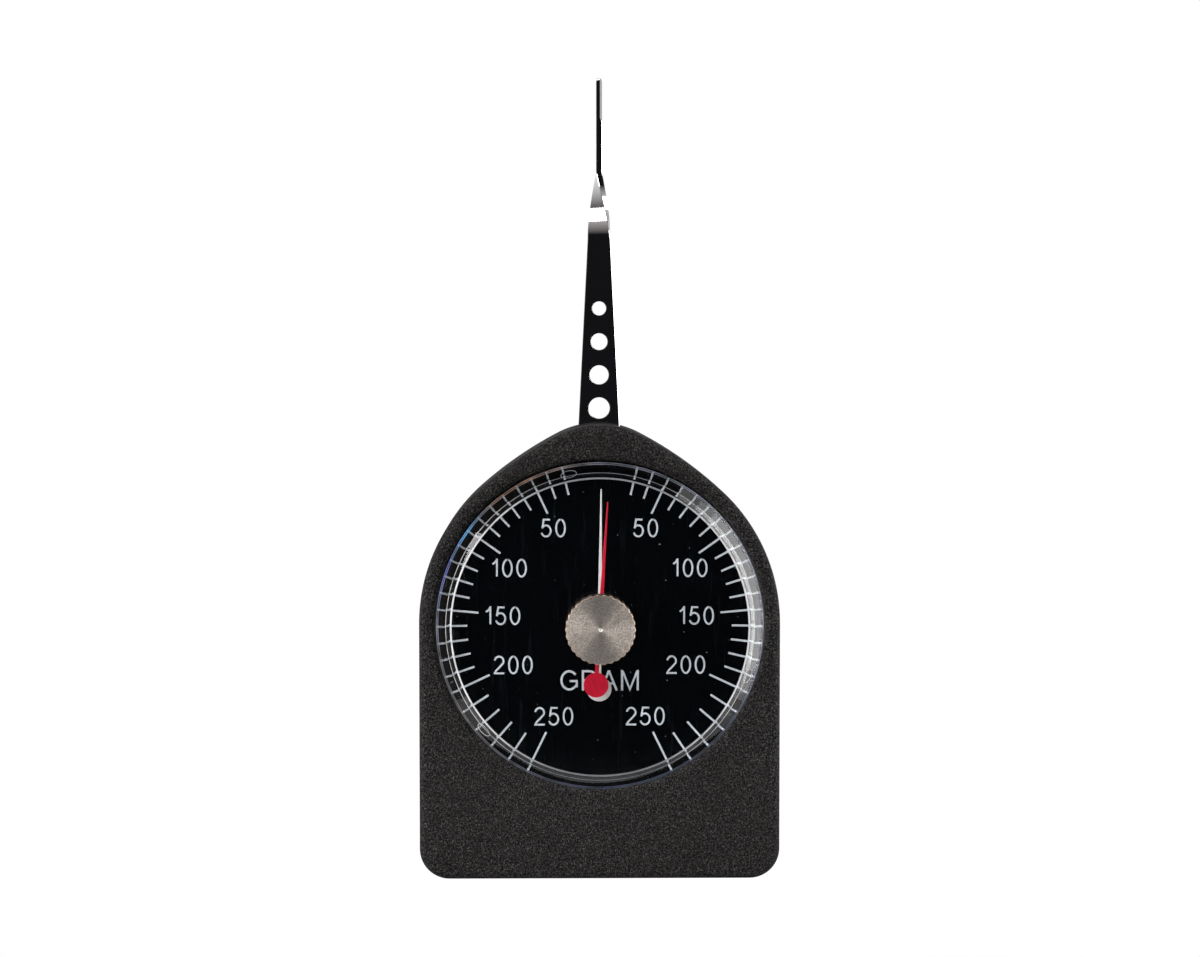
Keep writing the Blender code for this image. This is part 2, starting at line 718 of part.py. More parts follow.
def make_spindle():
    """Spindle from the blind bore of the knob to the drag pointer, thinner where the hub sits."""
    front = WINDOW_FRONT - GAP - KNOB_THICKNESS + KNOB_THICKNESS / 3 + FIT
    step = DRAG_HUB_FRONT
    thin = SPINDLE_RADIUS * SPINDLE_NECK_SHARE
    profile = [
        (0, front),
        (SPINDLE_RADIUS, front),
        (SPINDLE_RADIUS, step - FIT),
        (thin, step - FIT),
        (thin, DRAG_POINTER_REAR + FIT),
        (0, DRAG_POINTER_REAR + FIT),
    ]
    new_object("knob_spindle", turned(profile, PIN_STEPS), DRAG_AXIS, SCREW_STEEL)
    washer_rear = WASHER_FRONT + WASHER_THICKNESS
    profile = tube_profile(SPINDLE_RADIUS + FIT, WASHER_RADIUS, WASHER_FRONT, washer_rear)
    new_object("friction_washer", turned(profile, PIN_STEPS * 2, ring=True), DRAG_AXIS, SPRING_STEEL)
    profile = tube_profile(thin + RUN, DRAG_HUB_RADIUS, DRAG_HUB_FRONT, DRAG_HUB_REAR)
    new_object("drag_hub", turned(profile, PIN_STEPS, ring=True), DRAG_AXIS, BRASS)


def pointer_outline(tip_reach, disc_reach):
    """Flat pointer: tapered needle, ring round the axis, short tail and a round counterweight."""
    half = POINTER_HALF_WIDTH
    tip = POINTER_TIP_HALF_WIDTH
    ring_angle = math.asin(half / POINTER_RING_RADIUS)
    disc_angle = math.asin(half / POINTER_DISC_RADIUS)
    right = [(tip, tip_reach), (half, tip_reach / 4)]
    right += arc(POINTER_RING_RADIUS, (0, 0), ring_angle, math.pi - ring_angle, PIN_STEPS // 2)
    right += arc(POINTER_DISC_RADIUS, (0, -disc_reach), disc_angle, math.pi, PIN_STEPS // 2)
    left = [(-x, z) for x, z in right[-2::-1]]
    return right + left


def make_pointer(name, tip_reach, disc_reach, hole, front, rear, parent, finish, turn_deg=0.0):
    mesh = prism(pointer_outline(tip_reach, disc_reach), front, rear)
    made = new_object(name, mesh, parent, finish, turn_deg=turn_deg)
    tool = turned(cylinder_profile(hole, front - OVERRUN, rear + OVERRUN), PIN_STEPS)
    cut(made, guide(tool, parent))


def make_pointers():
    thin = SPINDLE_RADIUS * SPINDLE_NECK_SHARE
    make_pointer(
        "drag_pointer",
        DRAG_TIP_REACH,
        DRAG_DISC_REACH,
        thin + FIT,
        DRAG_POINTER_FRONT,
        DRAG_POINTER_REAR,
        DRAG_AXIS,
        RED_PAINT,
    )
    make_pointer(
        "main_pointer",
        POINTER_TIP_REACH,
        POINTER_DISC_REACH,
        ARBOR_RADIUS + FIT,
        POINTER_FRONT,
        POINTER_REAR,
        POINTER_AXIS,
        WHITE_PAINT,
        POINTER_REST_DEG,
    )
    front = POINTER_REAR + FIT
    profile = tube_profile(ARBOR_RADIUS + RUN, HUB_RADIUS, front, front + HUB_THICKNESS)
    new_object("pointer_hub", turned(profile, PIN_STEPS, ring=True), POINTER_AXIS, BRASS)
    middle = (DRAG_POINTER_REAR + POINTER_FRONT) / 2
    profile = cylinder_profile(DRIVE_PIN_RADIUS, middle, POINTER_FRONT - FIT)
    pin = turned(profile, PIN_STEPS // 2, 0, DRIVE_PIN_REACH)
    new_object("drive_pin", pin, POINTER_AXIS, SCREW_STEEL)


def involute(angle):
    return math.tan(angle) - angle


def tooth_flank(teeth, addendum):
    """(half angle, radius) points up one flank of a tooth, from its root to its tip."""
    pitch = MODULE * teeth / 2
    pressure = math.radians(PRESSURE_ANGLE_DEG)
    base = pitch * math.cos(pressure)
    at_pitch = (math.pi * MODULE / 2 - BACKLASH) / (2 * pitch)
    root = pitch - DEDENDUM_SHARE * MODULE
    tip = pitch + addendum * MODULE
    points = []
    for radius in (root, (root + pitch) / 2, pitch, (pitch + tip) / 2, tip):
        slope = math.acos(min(1, base / radius))
        points.append((at_pitch + involute(pressure) - involute(slope), radius))
    return points


def tooth_points(teeth, addendum, middle):
    """Outline of one tooth whose middle lies at this angle from straight up."""
    flank = tooth_flank(teeth, addendum)
    turns = [(middle - half, radius) for half, radius in flank]
    turns += [(middle + half, radius) for half, radius in reversed(flank)]
    return [(radius * math.sin(angle), radius * math.cos(angle)) for angle, radius in turns]


def make_pinion_arbor():
    outline = []
    for i in range(PINION_TEETH):
        outline += tooth_points(PINION_TEETH, PINION_ADDENDUM_SHARE, math.tau * (i + 1 / 2) / PINION_TEETH)
    mesh = prism(outline, PINION_FRONT, PINION_REAR)
    pinion = new_object("pinion_arbor", mesh, POINTER_AXIS, POLISHED_STEEL)
    profile = cylinder_profile(ARBOR_RADIUS, POINTER_FRONT - FIT, BRIDGE_REAR)
    join(pinion, guide(turned(profile, PIN_STEPS), POINTER_AXIS))


def make_sector_gear():
    step = math.tau / WHEEL_TEETH
    outline = []
    for i in range(SECTOR_TEETH):
        middle = math.pi + step * (i - (SECTOR_TEETH - 1) / 2)
        outline += tooth_points(WHEEL_TEETH, SECTOR_ADDENDUM_SHARE, middle)
    edge = step * SECTOR_TEETH / 2
    rim = SECTOR_RADIUS - SECTOR_RIM
    neck = -SECTOR_RADIUS / 2
    left_side = [
        (-rim * math.sin(edge), -rim * math.cos(edge)),
        (-SECTOR_NECK_HALF_WIDTH, neck),
        (-SECTOR_NECK_HALF_WIDTH, -SECTOR_TOP),
    ]
    outline += left_side + [(-x, z) for x, z in left_side[::-1]]
    sector = new_object("sector_gear", prism(outline, SECTOR_FRONT, SECTOR_REAR), LEVER_AXIS, BRASS)
    holes = bmesh.new()
    for reach in RIVET_REACHES:
        profile = cylinder_profile(RIVET_RADIUS + FIT, SECTOR_FRONT - OVERRUN, SECTOR_REAR + OVERRUN)
        add_turned(holes, profile, PIN_STEPS, 0, -reach)
    profile = cylinder_profile(STUD_RADIUS + FIT, SECTOR_FRONT - OVERRUN, SECTOR_REAR + OVERRUN)
    add_turned(holes, profile, PIN_STEPS, 0, -FORK_REACH)
    cut(sector, guide(finished_mesh(holes), LEVER_AXIS))


def lever_half_width(height):
    """Half the width of the lever's taper at a height above its shaft."""
    share = (height - PIVOT_DEPTH) / LEVER_LENGTH_OUT
    return (LEVER_BASE_WIDTH + (LEVER_TIP_WIDTH - LEVER_BASE_WIDTH) * share) / 2


def lever_section(height, half_width, turn):
    """Corners of the strip's section, turned about the strip's own middle line."""
    half_thickness = LEVER_THICKNESS / 2
    middle = depth((LEVER_FRONT + LEVER_REAR) / 2)
    corners = []
    for x, y in ((-1, -1), (1, -1), (1, 1), (-1, 1)):
        corner = Matrix.Rotation(-turn, 3, "Z") @ Vector((x * half_width, y * half_thickness, 0))
        corners.append((corner.x, corner.y + middle, height))
    return corners


def make_lever():
    start = PIVOT_DEPTH + TWIST_START
    end = PIVOT_DEPTH + TWIST_END
    bevel = LEVER_TAIL_WIDTH / 4
    sections = [
        (-LEVER_TAIL_LENGTH, LEVER_TAIL_WIDTH / 2 - bevel, 0),
        (-LEVER_TAIL_LENGTH + bevel, LEVER_TAIL_WIDTH / 2, 0),
        (0, LEVER_BASE_WIDTH / 2, 0),
        (PIVOT_DEPTH, LEVER_BASE_WIDTH / 2, 0),
    ]
    for i in range(TWIST_STEPS + 1):
        share = i / TWIST_STEPS
        height = start + (end - start) * share
        sections.append((height, lever_half_width(height), math.pi / 2 * share))
    sections.append((LEVER_TOP - LEVER_TIP_WIDTH / 2, lever_half_width(LEVER_TOP), math.pi / 2))
    sections.append((LEVER_TOP, lever_half_width(LEVER_TOP) / 2, math.pi / 2))
    bm = bmesh.new()
    rings = [[bm.verts.new(corner) for corner in lever_section(*section)] for section in sections]
    for low, high in zip(rings, rings[1:]):
        for i in range(4):
            j = (i + 1) % 4
            bm.faces.new((low[i], low[j], high[j], high[i]))
    bm.faces.new(rings[0])
    bm.faces.new(rings[-1])
    lever = new_object("feeler_lever", finished_mesh(bm), LEVER_AXIS, POLISHED_STEEL)

    holes = bmesh.new()
    ends = (LEVER_FRONT - OVERRUN, LEVER_REAR + OVERRUN)
    for i, radius in enumerate(HOLE_RADII):
        rise = PIVOT_DEPTH + FIRST_HOLE_RISE + HOLE_PITCH * i
        add_turned(holes, cylinder_profile(radius, *ends), PIN_STEPS + PIN_STEPS // 2, 0, rise)
    add_turned(holes, cylinder_profile(SHAFT_RADIUS + FIT, *ends), PIN_STEPS)
    for reach in RIVET_REACHES:
        add_turned(holes, cylinder_profile(RIVET_RADIUS + FIT, *ends), PIN_STEPS, 0, -reach)
    cut(lever, guide(finished_mesh(holes), LEVER_AXIS))


def make_lever_rivets():
    front = LEVER_FRONT - FIT
    rear = SECTOR_REAR + FIT
    profile = [
        (0, front - RIVET_HEAD_THICKNESS),
        (RIVET_HEAD_RADIUS, front - RIVET_HEAD_THICKNESS),
        (RIVET_HEAD_RADIUS, front),
        (RIVET_RADIUS, front),
        (RIVET_RADIUS, rear),
        (RIVET_HEAD_RADIUS, rear),
        (RIVET_HEAD_RADIUS, rear + RIVET_HEAD_THICKNESS),
        (0, rear + RIVET_HEAD_THICKNESS),
    ]
    mesh = turned(profile, PIN_STEPS)
    for name, reach in zip(("sector_rivet_upper", "sector_rivet_lower"), RIVET_REACHES):
        new_object(name, mesh, LEVER_AXIS, SCREW_STEEL, (0, 0, -reach))


def make_lever_shaft():
    profile = cylinder_profile(SHAFT_RADIUS, PLATE_FRONT, BRIDGE_REAR)
    new_object("lever_shaft", turned(profile, PIN_STEPS), LEVER_AXIS, POLISHED_STEEL)


def make_spring_fork():
    outline = circle(FORK_BASE_RADIUS, 0, -FORK_REACH, PIN_STEPS + PIN_STEPS // 2)
    fork = new_object("spring_fork", prism(outline, FORK_FRONT, FORK_REAR), LEVER_AXIS, SPRING_STEEL)
    tools = bmesh.new()
    middle = (FORK_FRONT + FORK_REAR) / 2
    spread = SPRING_THICKNESS / 2 + GAP + FORK_PRONG_RADIUS
    for side in (-1, 1):
        profile = cylinder_profile(FORK_PRONG_RADIUS, middle, SPRING_REAR)
        add_turned(tools, profile, PIN_STEPS, side * spread, -FORK_REACH)
    add_turned(tools, cylinder_profile(STUD_RADIUS, SECTOR_FRONT, middle), PIN_STEPS, 0, -FORK_REACH)
    join(fork, guide(finished_mesh(tools), LEVER_AXIS))


def make_movement_plate():
    lobe = SHAFT_BUSH_RADIUS + FIT + PLATE_MARGIN
    circles = [(lobe, 0, PIVOT_HEIGHT)]
    circles += [(PLATE_LOBE_RADIUS, x, z) for x, z in plate_screw_places()]
    foot = BLOCK_TOP - BLOCK_HEIGHT + PLATE_LOBE_RADIUS
    circles += [(PLATE_LOBE_RADIUS, side * PLATE_FOOT_SPREAD, foot) for side in (-1, 1)]
    plate = new_object("movement_plate", prism(rounded_hull(circles), PLATE_FRONT, PLATE_REAR), None, BRASS)
    holes = bmesh.new()
    ends = (PLATE_FRONT - OVERRUN, PLATE_REAR + OVERRUN)
    places = [(PLATE_SHANK_RADIUS + FIT, x, z) for x, z in plate_screw_places()]
    places += [(SHAFT_BUSH_RADIUS + FIT, 0, PIVOT_HEIGHT), (ARBOR_BUSH_RADIUS + FIT, 0, DIAL_HEIGHT)]
    places += [(PILLAR_SPIGOT_RADIUS + FIT, x, z) for x, z in pillar_places()]
    places += [(STOP_RADIUS + FIT, x, z) for x, z in stop_places()]
    places += [(SMALL_SHANK_RADIUS + FIT, x, z) for x, z in block_screw_places()]
    places += [(STUD_RADIUS + FIT, x, z) for x, z in [stud_place()]]
    for radius, x, z in places:
        add_turned(holes, cylinder_profile(radius, *ends), PIN_STEPS, x, z)
    cut(plate, guide(finished_mesh(holes)))
    names = ["movement_screw_" + corner for corner in CORNERS]
    length = PLATE_THICKNESS + GAP + FLOOR_THICKNESS
    mesh = pan_screw_mesh(PLATE_SHANK_RADIUS, PLATE_HEAD_RADIUS, PLATE_REAR, length)
    place_screws(names, mesh, plate_screw_places())


def arbor_pillar_places():
    return [(side * ARBOR_BRIDGE_SPREAD, DIAL_HEIGHT) for side in (-1, 1)]


def lever_pillar_places():
    return [(side * LEVER_BRIDGE_SPREAD, PIVOT_HEIGHT - LEVER_BRIDGE_DROP) for side in (-1, 1)]


def pillar_places():
    return arbor_pillar_places() + lever_pillar_places()


def stop_places():
    """(x, z) of the pins that the lever's tail meets just past each end of its range."""
    half = LEVER_TAIL_WIDTH / 2 + STOP_RADIUS + GAP
    angle = LEVER_RANGE + math.asin(half / STOP_REACH)
    x = STOP_REACH * math.sin(angle)
    z = PIVOT_HEIGHT - STOP_REACH * math.cos(angle)
    return [(side * x, z) for side in (-1, 1)]


def block_screw_places():
    return [(side * BLOCK_SCREW_SPREAD, BLOCK_TOP - BLOCK_HEIGHT / 2) for side in (-1, 1)]


def stud_place():
    """(x, z) of the stud beside the outer end of the hairspring."""
    turn = math.tau * HAIRSPRING_TURNS
    reach = HAIRSPRING_RADIUS + HAIRSPRING_THICKNESS + GAP + STUD_RADIUS
    return (reach * math.sin(turn), DIAL_HEIGHT + reach * math.cos(turn))


def make_pillars():
    """Pillars with a spigot in the plate and a blind screw hole behind."""
    front = PLATE_REAR + FIT
    rear = BRIDGE_FRONT - FIT
    hole = SMALL_SHANK_RADIUS + FIT
    hole_end = BRIDGE_REAR - SMALL_SHANK_LENGTH - GAP
    profile = [
        (0, PLATE_FRONT),
        (PILLAR_SPIGOT_RADIUS, PLATE_FRONT),
        (PILLAR_SPIGOT_RADIUS, front),
        (PILLAR_RADIUS, front),
        (PILLAR_RADIUS, rear),
        (hole, rear),
        (hole, hole_end),
        (0, hole_end),
    ]
    mesh = turned(profile, PIN_STEPS)
    names = ("arbor_pillar_left", "arbor_pillar_right", "lever_pillar_left", "lever_pillar_right")
    for name, (x, z) in zip(names, pillar_places()):
        new_object(name, mesh, None, BRASS, (x, 0, z))


def make_bridge(name, bearing, bearing_height, pillars, screw_names):
    circles = [(BRIDGE_LOBE_RADIUS, 0, bearing_height)]
    circles += [(BRIDGE_LOBE_RADIUS, x, z) for x, z in pillars]
    lowest = min(z for _, _, z in circles)
    if bearing_height > lowest:
        circles[0] = (bearing + FIT + PLATE_MARGIN, 0, bearing_height)
    bridge = new_object(name, prism(rounded_hull(circles), BRIDGE_FRONT, BRIDGE_REAR), None, BRASS)
    holes = bmesh.new()
    ends = (BRIDGE_FRONT - OVERRUN, BRIDGE_REAR + OVERRUN)
    add_turned(holes, cylinder_profile(bearing + FIT, *ends), PIN_STEPS, 0, bearing_height)
    for x, z in pillars:
        add_turned(holes, cylinder_profile(SMALL_SHANK_RADIUS + FIT, *ends), PIN_STEPS, x, z)
    cut(bridge, guide(finished_mesh(holes)))
    mesh = pan_screw_mesh(SMALL_SHANK_RADIUS, SMALL_HEAD_RADIUS, BRIDGE_REAR, SMALL_SHANK_LENGTH)
    place_screws(screw_names, mesh, pillars)


def make_bridges():
    make_bridge(
        "arbor_bridge",
        ARBOR_BUSH_RADIUS,
        DIAL_HEIGHT,
        arbor_pillar_places(),
        ("arbor_bridge_screw_left", "arbor_bridge_screw_right"),
    )
    make_bridge(
        "lever_bridge",
        SHAFT_BUSH_RADIUS,
        PIVOT_HEIGHT,
        lever_pillar_places(),
        ("lever_bridge_screw_left", "lever_bridge_screw_right"),
    )


def make_bearing_bushes():
    for name, shaft, bush, axis in (
        ("lever_bush", SHAFT_RADIUS, SHAFT_BUSH_RADIUS, LEVER_AXIS),
        ("arbor_bush", ARBOR_RADIUS, ARBOR_BUSH_RADIUS, DIAL_AXIS),
    ):
        for place, front, rear in (
            ("front", PLATE_FRONT, PLATE_REAR),
            ("rear", BRIDGE_FRONT, BRIDGE_REAR),
        ):
            mesh = turned(tube_profile(shaft + RUN, bush, front, rear), PIN_STEPS, ring=True)
            new_object(name + "_" + place, mesh, axis, BRASS)


def make_stop_pins():
    mesh = turned(cylinder_profile(STOP_RADIUS, PLATE_FRONT, LEVER_REAR), PIN_STEPS)
    for name, (x, z) in zip(("stop_pin_left", "stop_pin_right"), stop_places()):
        new_object(name, mesh, None, SCREW_STEEL, (x, 0, z))


def make_hairspring():
    """Flat spiral from the collet out to the stud, with the ring that holds it on the arbor."""
    inner = COLLET_RADIUS + GAP
    total = int(SPIRAL_STEPS * HAIRSPRING_TURNS)
    bm = bmesh.new()
    rings = []
    for i in range(total + 1):
        share = i / total
        angle = math.tau * HAIRSPRING_TURNS * share
        reach = inner + (HAIRSPRING_RADIUS - inner) * share
        ring = []
        for radius, distance in (
            (reach, HAIRSPRING_FRONT),
            (reach + HAIRSPRING_THICKNESS, HAIRSPRING_FRONT),
            (reach + HAIRSPRING_THICKNESS, HAIRSPRING_REAR),
            (reach, HAIRSPRING_REAR),
        ):
            ring.append(bm.verts.new((radius * math.sin(angle), depth(distance), radius * math.cos(angle))))
        rings.append(ring)
    for near, far in zip(rings, rings[1:]):
        for i in range(4):
            j = (i + 1) % 4
            bm.faces.new((near[i], near[j], far[j], far[i]))
    bm.faces.new(rings[0])
    bm.faces.new(rings[-1])
    new_object("hairspring", finished_mesh(bm), DIAL_AXIS, SPRING_STEEL)
    profile = tube_profile(ARBOR_RADIUS + RUN, COLLET_RADIUS, HAIRSPRING_FRONT, HAIRSPRING_REAR)
    new_object("hairspring_collet", turned(profile, PIN_STEPS, ring=True), POINTER_AXIS, BRASS)
    x, z = stud_place()
    stud = turned(cylinder_profile(STUD_RADIUS, PLATE_FRONT, HAIRSPRING_REAR), PIN_STEPS)
    new_object("hairspring_stud", stud, None, SCREW_STEEL, (x, 0, z))


def make_measuring_spring():
    half = SPRING_THICKNESS / 2
    top = PIVOT_HEIGHT - FORK_REACH + SPRING_OVERLAP
    foot = BLOCK_TOP - BLOCK_HEIGHT + OVERRUN / 2 + GAP
    outline = box_outline(-half, half, foot, top)
    new_object("measuring_spring", prism(outline, SPRING_FRONT, SPRING_REAR), None, SPRING_STEEL)

    wide = BLOCK_WIDTH / 2
    low = BLOCK_TOP - BLOCK_HEIGHT
    front = PLATE_REAR + GAP
    rear = SPRING_REAR - SPRING_WIDTH / 3
    mesh = prism(box_outline(-wide, wide, low, BLOCK_TOP), front, rear)
    block = new_object("spring_block", mesh, None, BRASS)
    slit = prism(
        box_outline(-half - FIT, half + FIT, foot - GAP, BLOCK_TOP + OVERRUN),
        SPRING_FRONT - GAP,
        rear + OVERRUN,
    )
    cut(block, guide(slit))
    holes = bmesh.new()
    for x, z in block_screw_places():
        profile = cylinder_profile(SMALL_SHANK_RADIUS + FIT, front - OVERRUN, rear + OVERRUN)
        add_turned(holes, profile, PIN_STEPS, x, z)
    cut(block, guide(finished_mesh(holes)))
    length = rear - PLATE_FRONT
    mesh = pan_screw_mesh(SMALL_SHANK_RADIUS, SMALL_HEAD_RADIUS, rear, length)
    place_screws(("block_screw_left", "block_screw_right"), mesh, block_screw_places())


make_housing()
make_rear_cover()
make_cover_screws()
make_dial()
make_crystal()
make_crystal_bush()
make_movement_plate()
make_pillars()
make_bridges()
make_bearing_bushes()
make_stop_pins()
make_measuring_spring()
make_hairspring()
make_lever()
make_lever_shaft()
make_sector_gear()
make_lever_rivets()
make_spring_fork()
make_pinion_arbor()
make_pointers()
make_knob()
make_spindle()
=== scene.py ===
"""Looks of the pocket dial force gauge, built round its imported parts.

Metres. The gauge stands on the floor, +Z up, with its dial towards -Y.
"""

import json
import math

import bmesh
import bpy
from mathutils import Matrix, Vector


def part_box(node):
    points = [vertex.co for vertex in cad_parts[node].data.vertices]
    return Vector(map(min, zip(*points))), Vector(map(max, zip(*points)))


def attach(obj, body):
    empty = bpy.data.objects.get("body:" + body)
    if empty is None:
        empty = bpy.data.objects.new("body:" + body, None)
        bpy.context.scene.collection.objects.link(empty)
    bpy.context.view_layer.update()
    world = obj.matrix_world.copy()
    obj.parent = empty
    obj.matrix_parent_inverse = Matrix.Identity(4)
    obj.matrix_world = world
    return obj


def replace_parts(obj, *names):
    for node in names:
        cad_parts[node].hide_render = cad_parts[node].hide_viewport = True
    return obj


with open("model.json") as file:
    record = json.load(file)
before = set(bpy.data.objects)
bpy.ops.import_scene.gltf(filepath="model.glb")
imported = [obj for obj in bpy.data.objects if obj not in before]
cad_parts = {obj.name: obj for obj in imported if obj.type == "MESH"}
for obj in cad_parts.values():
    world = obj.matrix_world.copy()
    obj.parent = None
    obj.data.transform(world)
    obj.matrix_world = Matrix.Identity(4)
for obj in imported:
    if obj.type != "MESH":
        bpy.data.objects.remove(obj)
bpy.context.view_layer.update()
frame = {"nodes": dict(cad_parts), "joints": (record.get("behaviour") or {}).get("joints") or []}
joints = {joint["name"]: Vector(joint["pos_m"]) for joint in frame["joints"]}

# Sizes read from the frame
HOUSING_LOW, HOUSING_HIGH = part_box("case_housing")
COVER_LOW, COVER_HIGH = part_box("rear_cover")
CRYSTAL_LOW, CRYSTAL_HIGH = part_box("crystal")
DIAL_LOW, DIAL_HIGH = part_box("dial_plate")
KNOB_LOW, KNOB_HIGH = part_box("reset_knob")
LEVER_LOW, LEVER_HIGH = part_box("feeler_lever")
DRAG_LOW, DRAG_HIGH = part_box("drag_pointer")
POINTER_LOW, POINTER_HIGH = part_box("main_pointer")
PLATE_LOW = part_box("movement_plate")[0]
SPINDLE_LOW, SPINDLE_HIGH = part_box("knob_spindle")
CASE_FRONT = HOUSING_LOW.y
DIAL_HEIGHT = joints["pointer_turn"].z
PIVOT_HEIGHT = joints["lever_swing"].z
SIDE_RADIUS = HOUSING_HIGH.x
CROWN_TOP = HOUSING_HIGH.z
CRYSTAL_RADIUS = DIAL_HEIGHT - CRYSTAL_LOW.z
SKIRT_END = CRYSTAL_HIGH.y
WINDOW_FRONT = CRYSTAL_LOW.y
DIAL_FRONT = DIAL_LOW.y

# Clearances
GAP = 0.0003
FIT = 0.00015
OVERRUN = 0.002
MERGE = 0.000001

# Case
WALL = 0.0022
CASE_FLOOR_THICKNESS = 0.0015
FLOOR_REAR = PLATE_LOW.y - GAP
FLOOR_FRONT = FLOOR_REAR - CASE_FLOOR_THICKNESS
SIDE_ARC_RISE = 0.0001
CROWN_RADIUS = 0.015
SHOULDER_RADIUS = 0.065
CORNER_RADIUS = 0.005
FRONT_EDGE_RADIUS = 0.0014
REAR_EDGE_RADIUS = 0.0012
SEAM_RADIUS = 0.0002
WELL_EDGE_RADIUS = 0.0009
SLOT_CLEARANCE = 0.0006
SLOT_HALF_WIDTH = 0.0046
SCREW_HEAD_RADIUS = 0.0023
SCREW_HEAD_THICKNESS = 0.0013
SCREW_SHANK_RADIUS = 0.0011
SCREW_CROSS_REACH = 0.00125
SCREW_CROSS_WIDTH = 0.00055
SCREW_CROSS_DEPTH = 0.0009
SCREW_DISH = 0.00012

# Crystal
CRYSTAL_WALL = 0.0017
CRYSTAL_SHOULDER = 0.0025
CRYSTAL_EDGE_RISE = 0.001
WINDOW_THICKNESS = 0.0012
WINDOW_EDGE_RADIUS = 0.0005
BUSH_HOLE_RADIUS = 0.00211
LUG_ANGLES_DEG = (-11.6, 108.4, 228.4)
LUG_HALF_WIDTH = 0.001
LUG_REACH = 0.00045
LUG_HEIGHT = 0.0011
LINE_LIFT = 0.00003
EDGE_LINE_WIDTH = 0.0003
RIM_LINE_WIDTH = 0.0002
RIM_LINE_SHARES = (0.98, 0.88)
INNER_LINE_SHARE = 0.34
LUG_LINE_SPAN = 0.0026
LUG_LINE_HEIGHT = 0.0011
LUG_LINE_HALF = 0.00005
LUG_LINE_SHARE = 0.55
LUG_LINE_STEPS = 40

# Dial marks
MARK_THICKNESS = 0.00003
MARK_WIDTH = 0.00033
MARK_OUTER_REACH = 0.0268
MAJOR_INNER_REACH = 0.0202
MINOR_INNER_REACH = 0.022
SCALE_POINTS = ((30, 13.5), (100, 54.6), (200, 115.1), (250, 153.9))
FIRST_MARK = 30
LAST_MARK = 250
MARK_STEP = 10
MAJOR_STEP = 50
DIGIT_HEIGHT = 0.0031
DIGIT_STROKE = 0.0003
DIGIT_GAP = 0.0006
UNIT_HEIGHT = 0.0034
UNIT_STROKE = 0.00036
UNIT_GAP = 0.0006
UNIT_SPREAD = 1.13
UNIT_DROP = 0.0095
NUMERAL_PLACES = {
    50: (0.00766, 0.0159),
    100: (0.015, 0.00925),
    150: (0.0161, 0.0013),
    200: (0.01435, -0.0069),
    250: (0.00762, -0.0155),
}

# Knob
KNOB_KNURLS = 30
KNURL_DEPTH = 0.0002
KNOB_FACE_CHAMFER = 0.0001
KNOB_PIP_RADIUS = 0.0003
KNOB_PIP_DEPTH = 0.00016
KNOB_LAP = 0.003

# Pointers
POINTER_HALF_WIDTH = 0.00032
POINTER_TIP_HALF_WIDTH = 0.0001
POINTER_RING_RADIUS = 0.0016
POINTER_DISC_RADIUS = 0.00206
POINTER_EDGE = 0.00005
POINTER_REST_DEG = 0.6
POINTER_TIP_REACH = 0.0225
POINTER_DISC_REACH = 0.0107
POINTER_HOLE_RADIUS = 0.00075
DRAG_REST_DEG = 3.6
DRAG_TIP_REACH = 0.0205
DRAG_DISC_REACH = 0.0099
DRAG_HOLE_RADIUS = 0.00085

# Lever
LEVER_BASE_WIDTH = 0.0069
LEVER_HALF_THICKNESS = 0.0005
LEVER_TIP_WIDTH = 0.00115
LEVER_TAIL_WIDTH = 0.006
TWIST_START = 0.0308
TWIST_END = 0.0421
HOLE_RADII = (0.00178, 0.0016, 0.0014, 0.00117)
FIRST_HOLE_RISE = 0.00264
HOLE_PITCH = 0.00557
HOLE_CHAMFER = 0.0001
LEVER_EDGE = 0.00008
GROUND_LENGTH = 0.007
GROUND_EDGE = 0.00036
GROUND_SLOPE = 1.4
SHAFT_HOLE_RADIUS = 0.00095
RIVET_REACHES = (0.0062, 0.0102)
RIVET_HOLE_RADIUS = 0.00075

# Camera and light, in the photograph's frame
PHOTO_WIDTH = 1200
PHOTO_SCALE = 6055.0
PHOTO_CENTRE = Vector((0.00016, 0.0, 0.0664))
VIEW_DISTANCE = 0.45
VIEW_AZIMUTH_DEG = -0.9
VIEW_ELEVATION_DEG = 2.9
SENSOR_WIDTH = 0.036
FLOOR_REACH = 1.5
FLOOR_FRONT_REACH = 0.065
FLOOR_SIDE_REACH = 0.07
FLOOR_GLOW = 0.95

# Fineness of round shapes
ROUND_STEPS = 240
PIN_STEPS = 48
CORNER_ARC_STEPS = 14
LONG_ARC_STEPS = 36
EDGE_STEPS = 8
TWIST_STEPS = 48
KNURL_STEPS = 12


def arc(radius, centre, start, end, steps):
    """Points of an arc, with angles counted clockwise from straight up."""
    points = []
    for i in range(steps + 1):
        angle = start + (end - start) * i / steps
        points.append((centre[0] + radius * math.sin(angle), centre[1] + radius * math.cos(angle)))
    return points


def circle(radius, x=0.0, z=0.0, steps=PIN_STEPS):
    return arc(radius, (x, z), 0, math.tau, steps)[:-1]


def finished_mesh(name, bm, smooth_deg=35.0):
    """The bmesh as a mesh with outward faces, smooth but for edges sharper than the angle."""
    bmesh.ops.recalc_face_normals(bm, faces=bm.faces)
    mesh = bpy.data.meshes.new(name)
    bm.to_mesh(mesh)
    bm.free()
    mesh.shade_smooth()
    mesh.set_sharp_from_angle(angle=math.radians(smooth_deg))
    return mesh


def loft(bm, rings, close=True):
    """Joins rings of the same number of points into a skin, closed at both ends."""
    rows = [[bm.verts.new(point) for point in ring] for ring in rings]
    for near, far in zip(rows, rows[1:]):
        for i in range(len(near)):
            j = (i + 1) % len(near)
            bm.faces.new((near[i], near[j], far[j], far[i]))
    if close:
        bm.faces.new(rows[0])
        bm.faces.new(rows[-1])


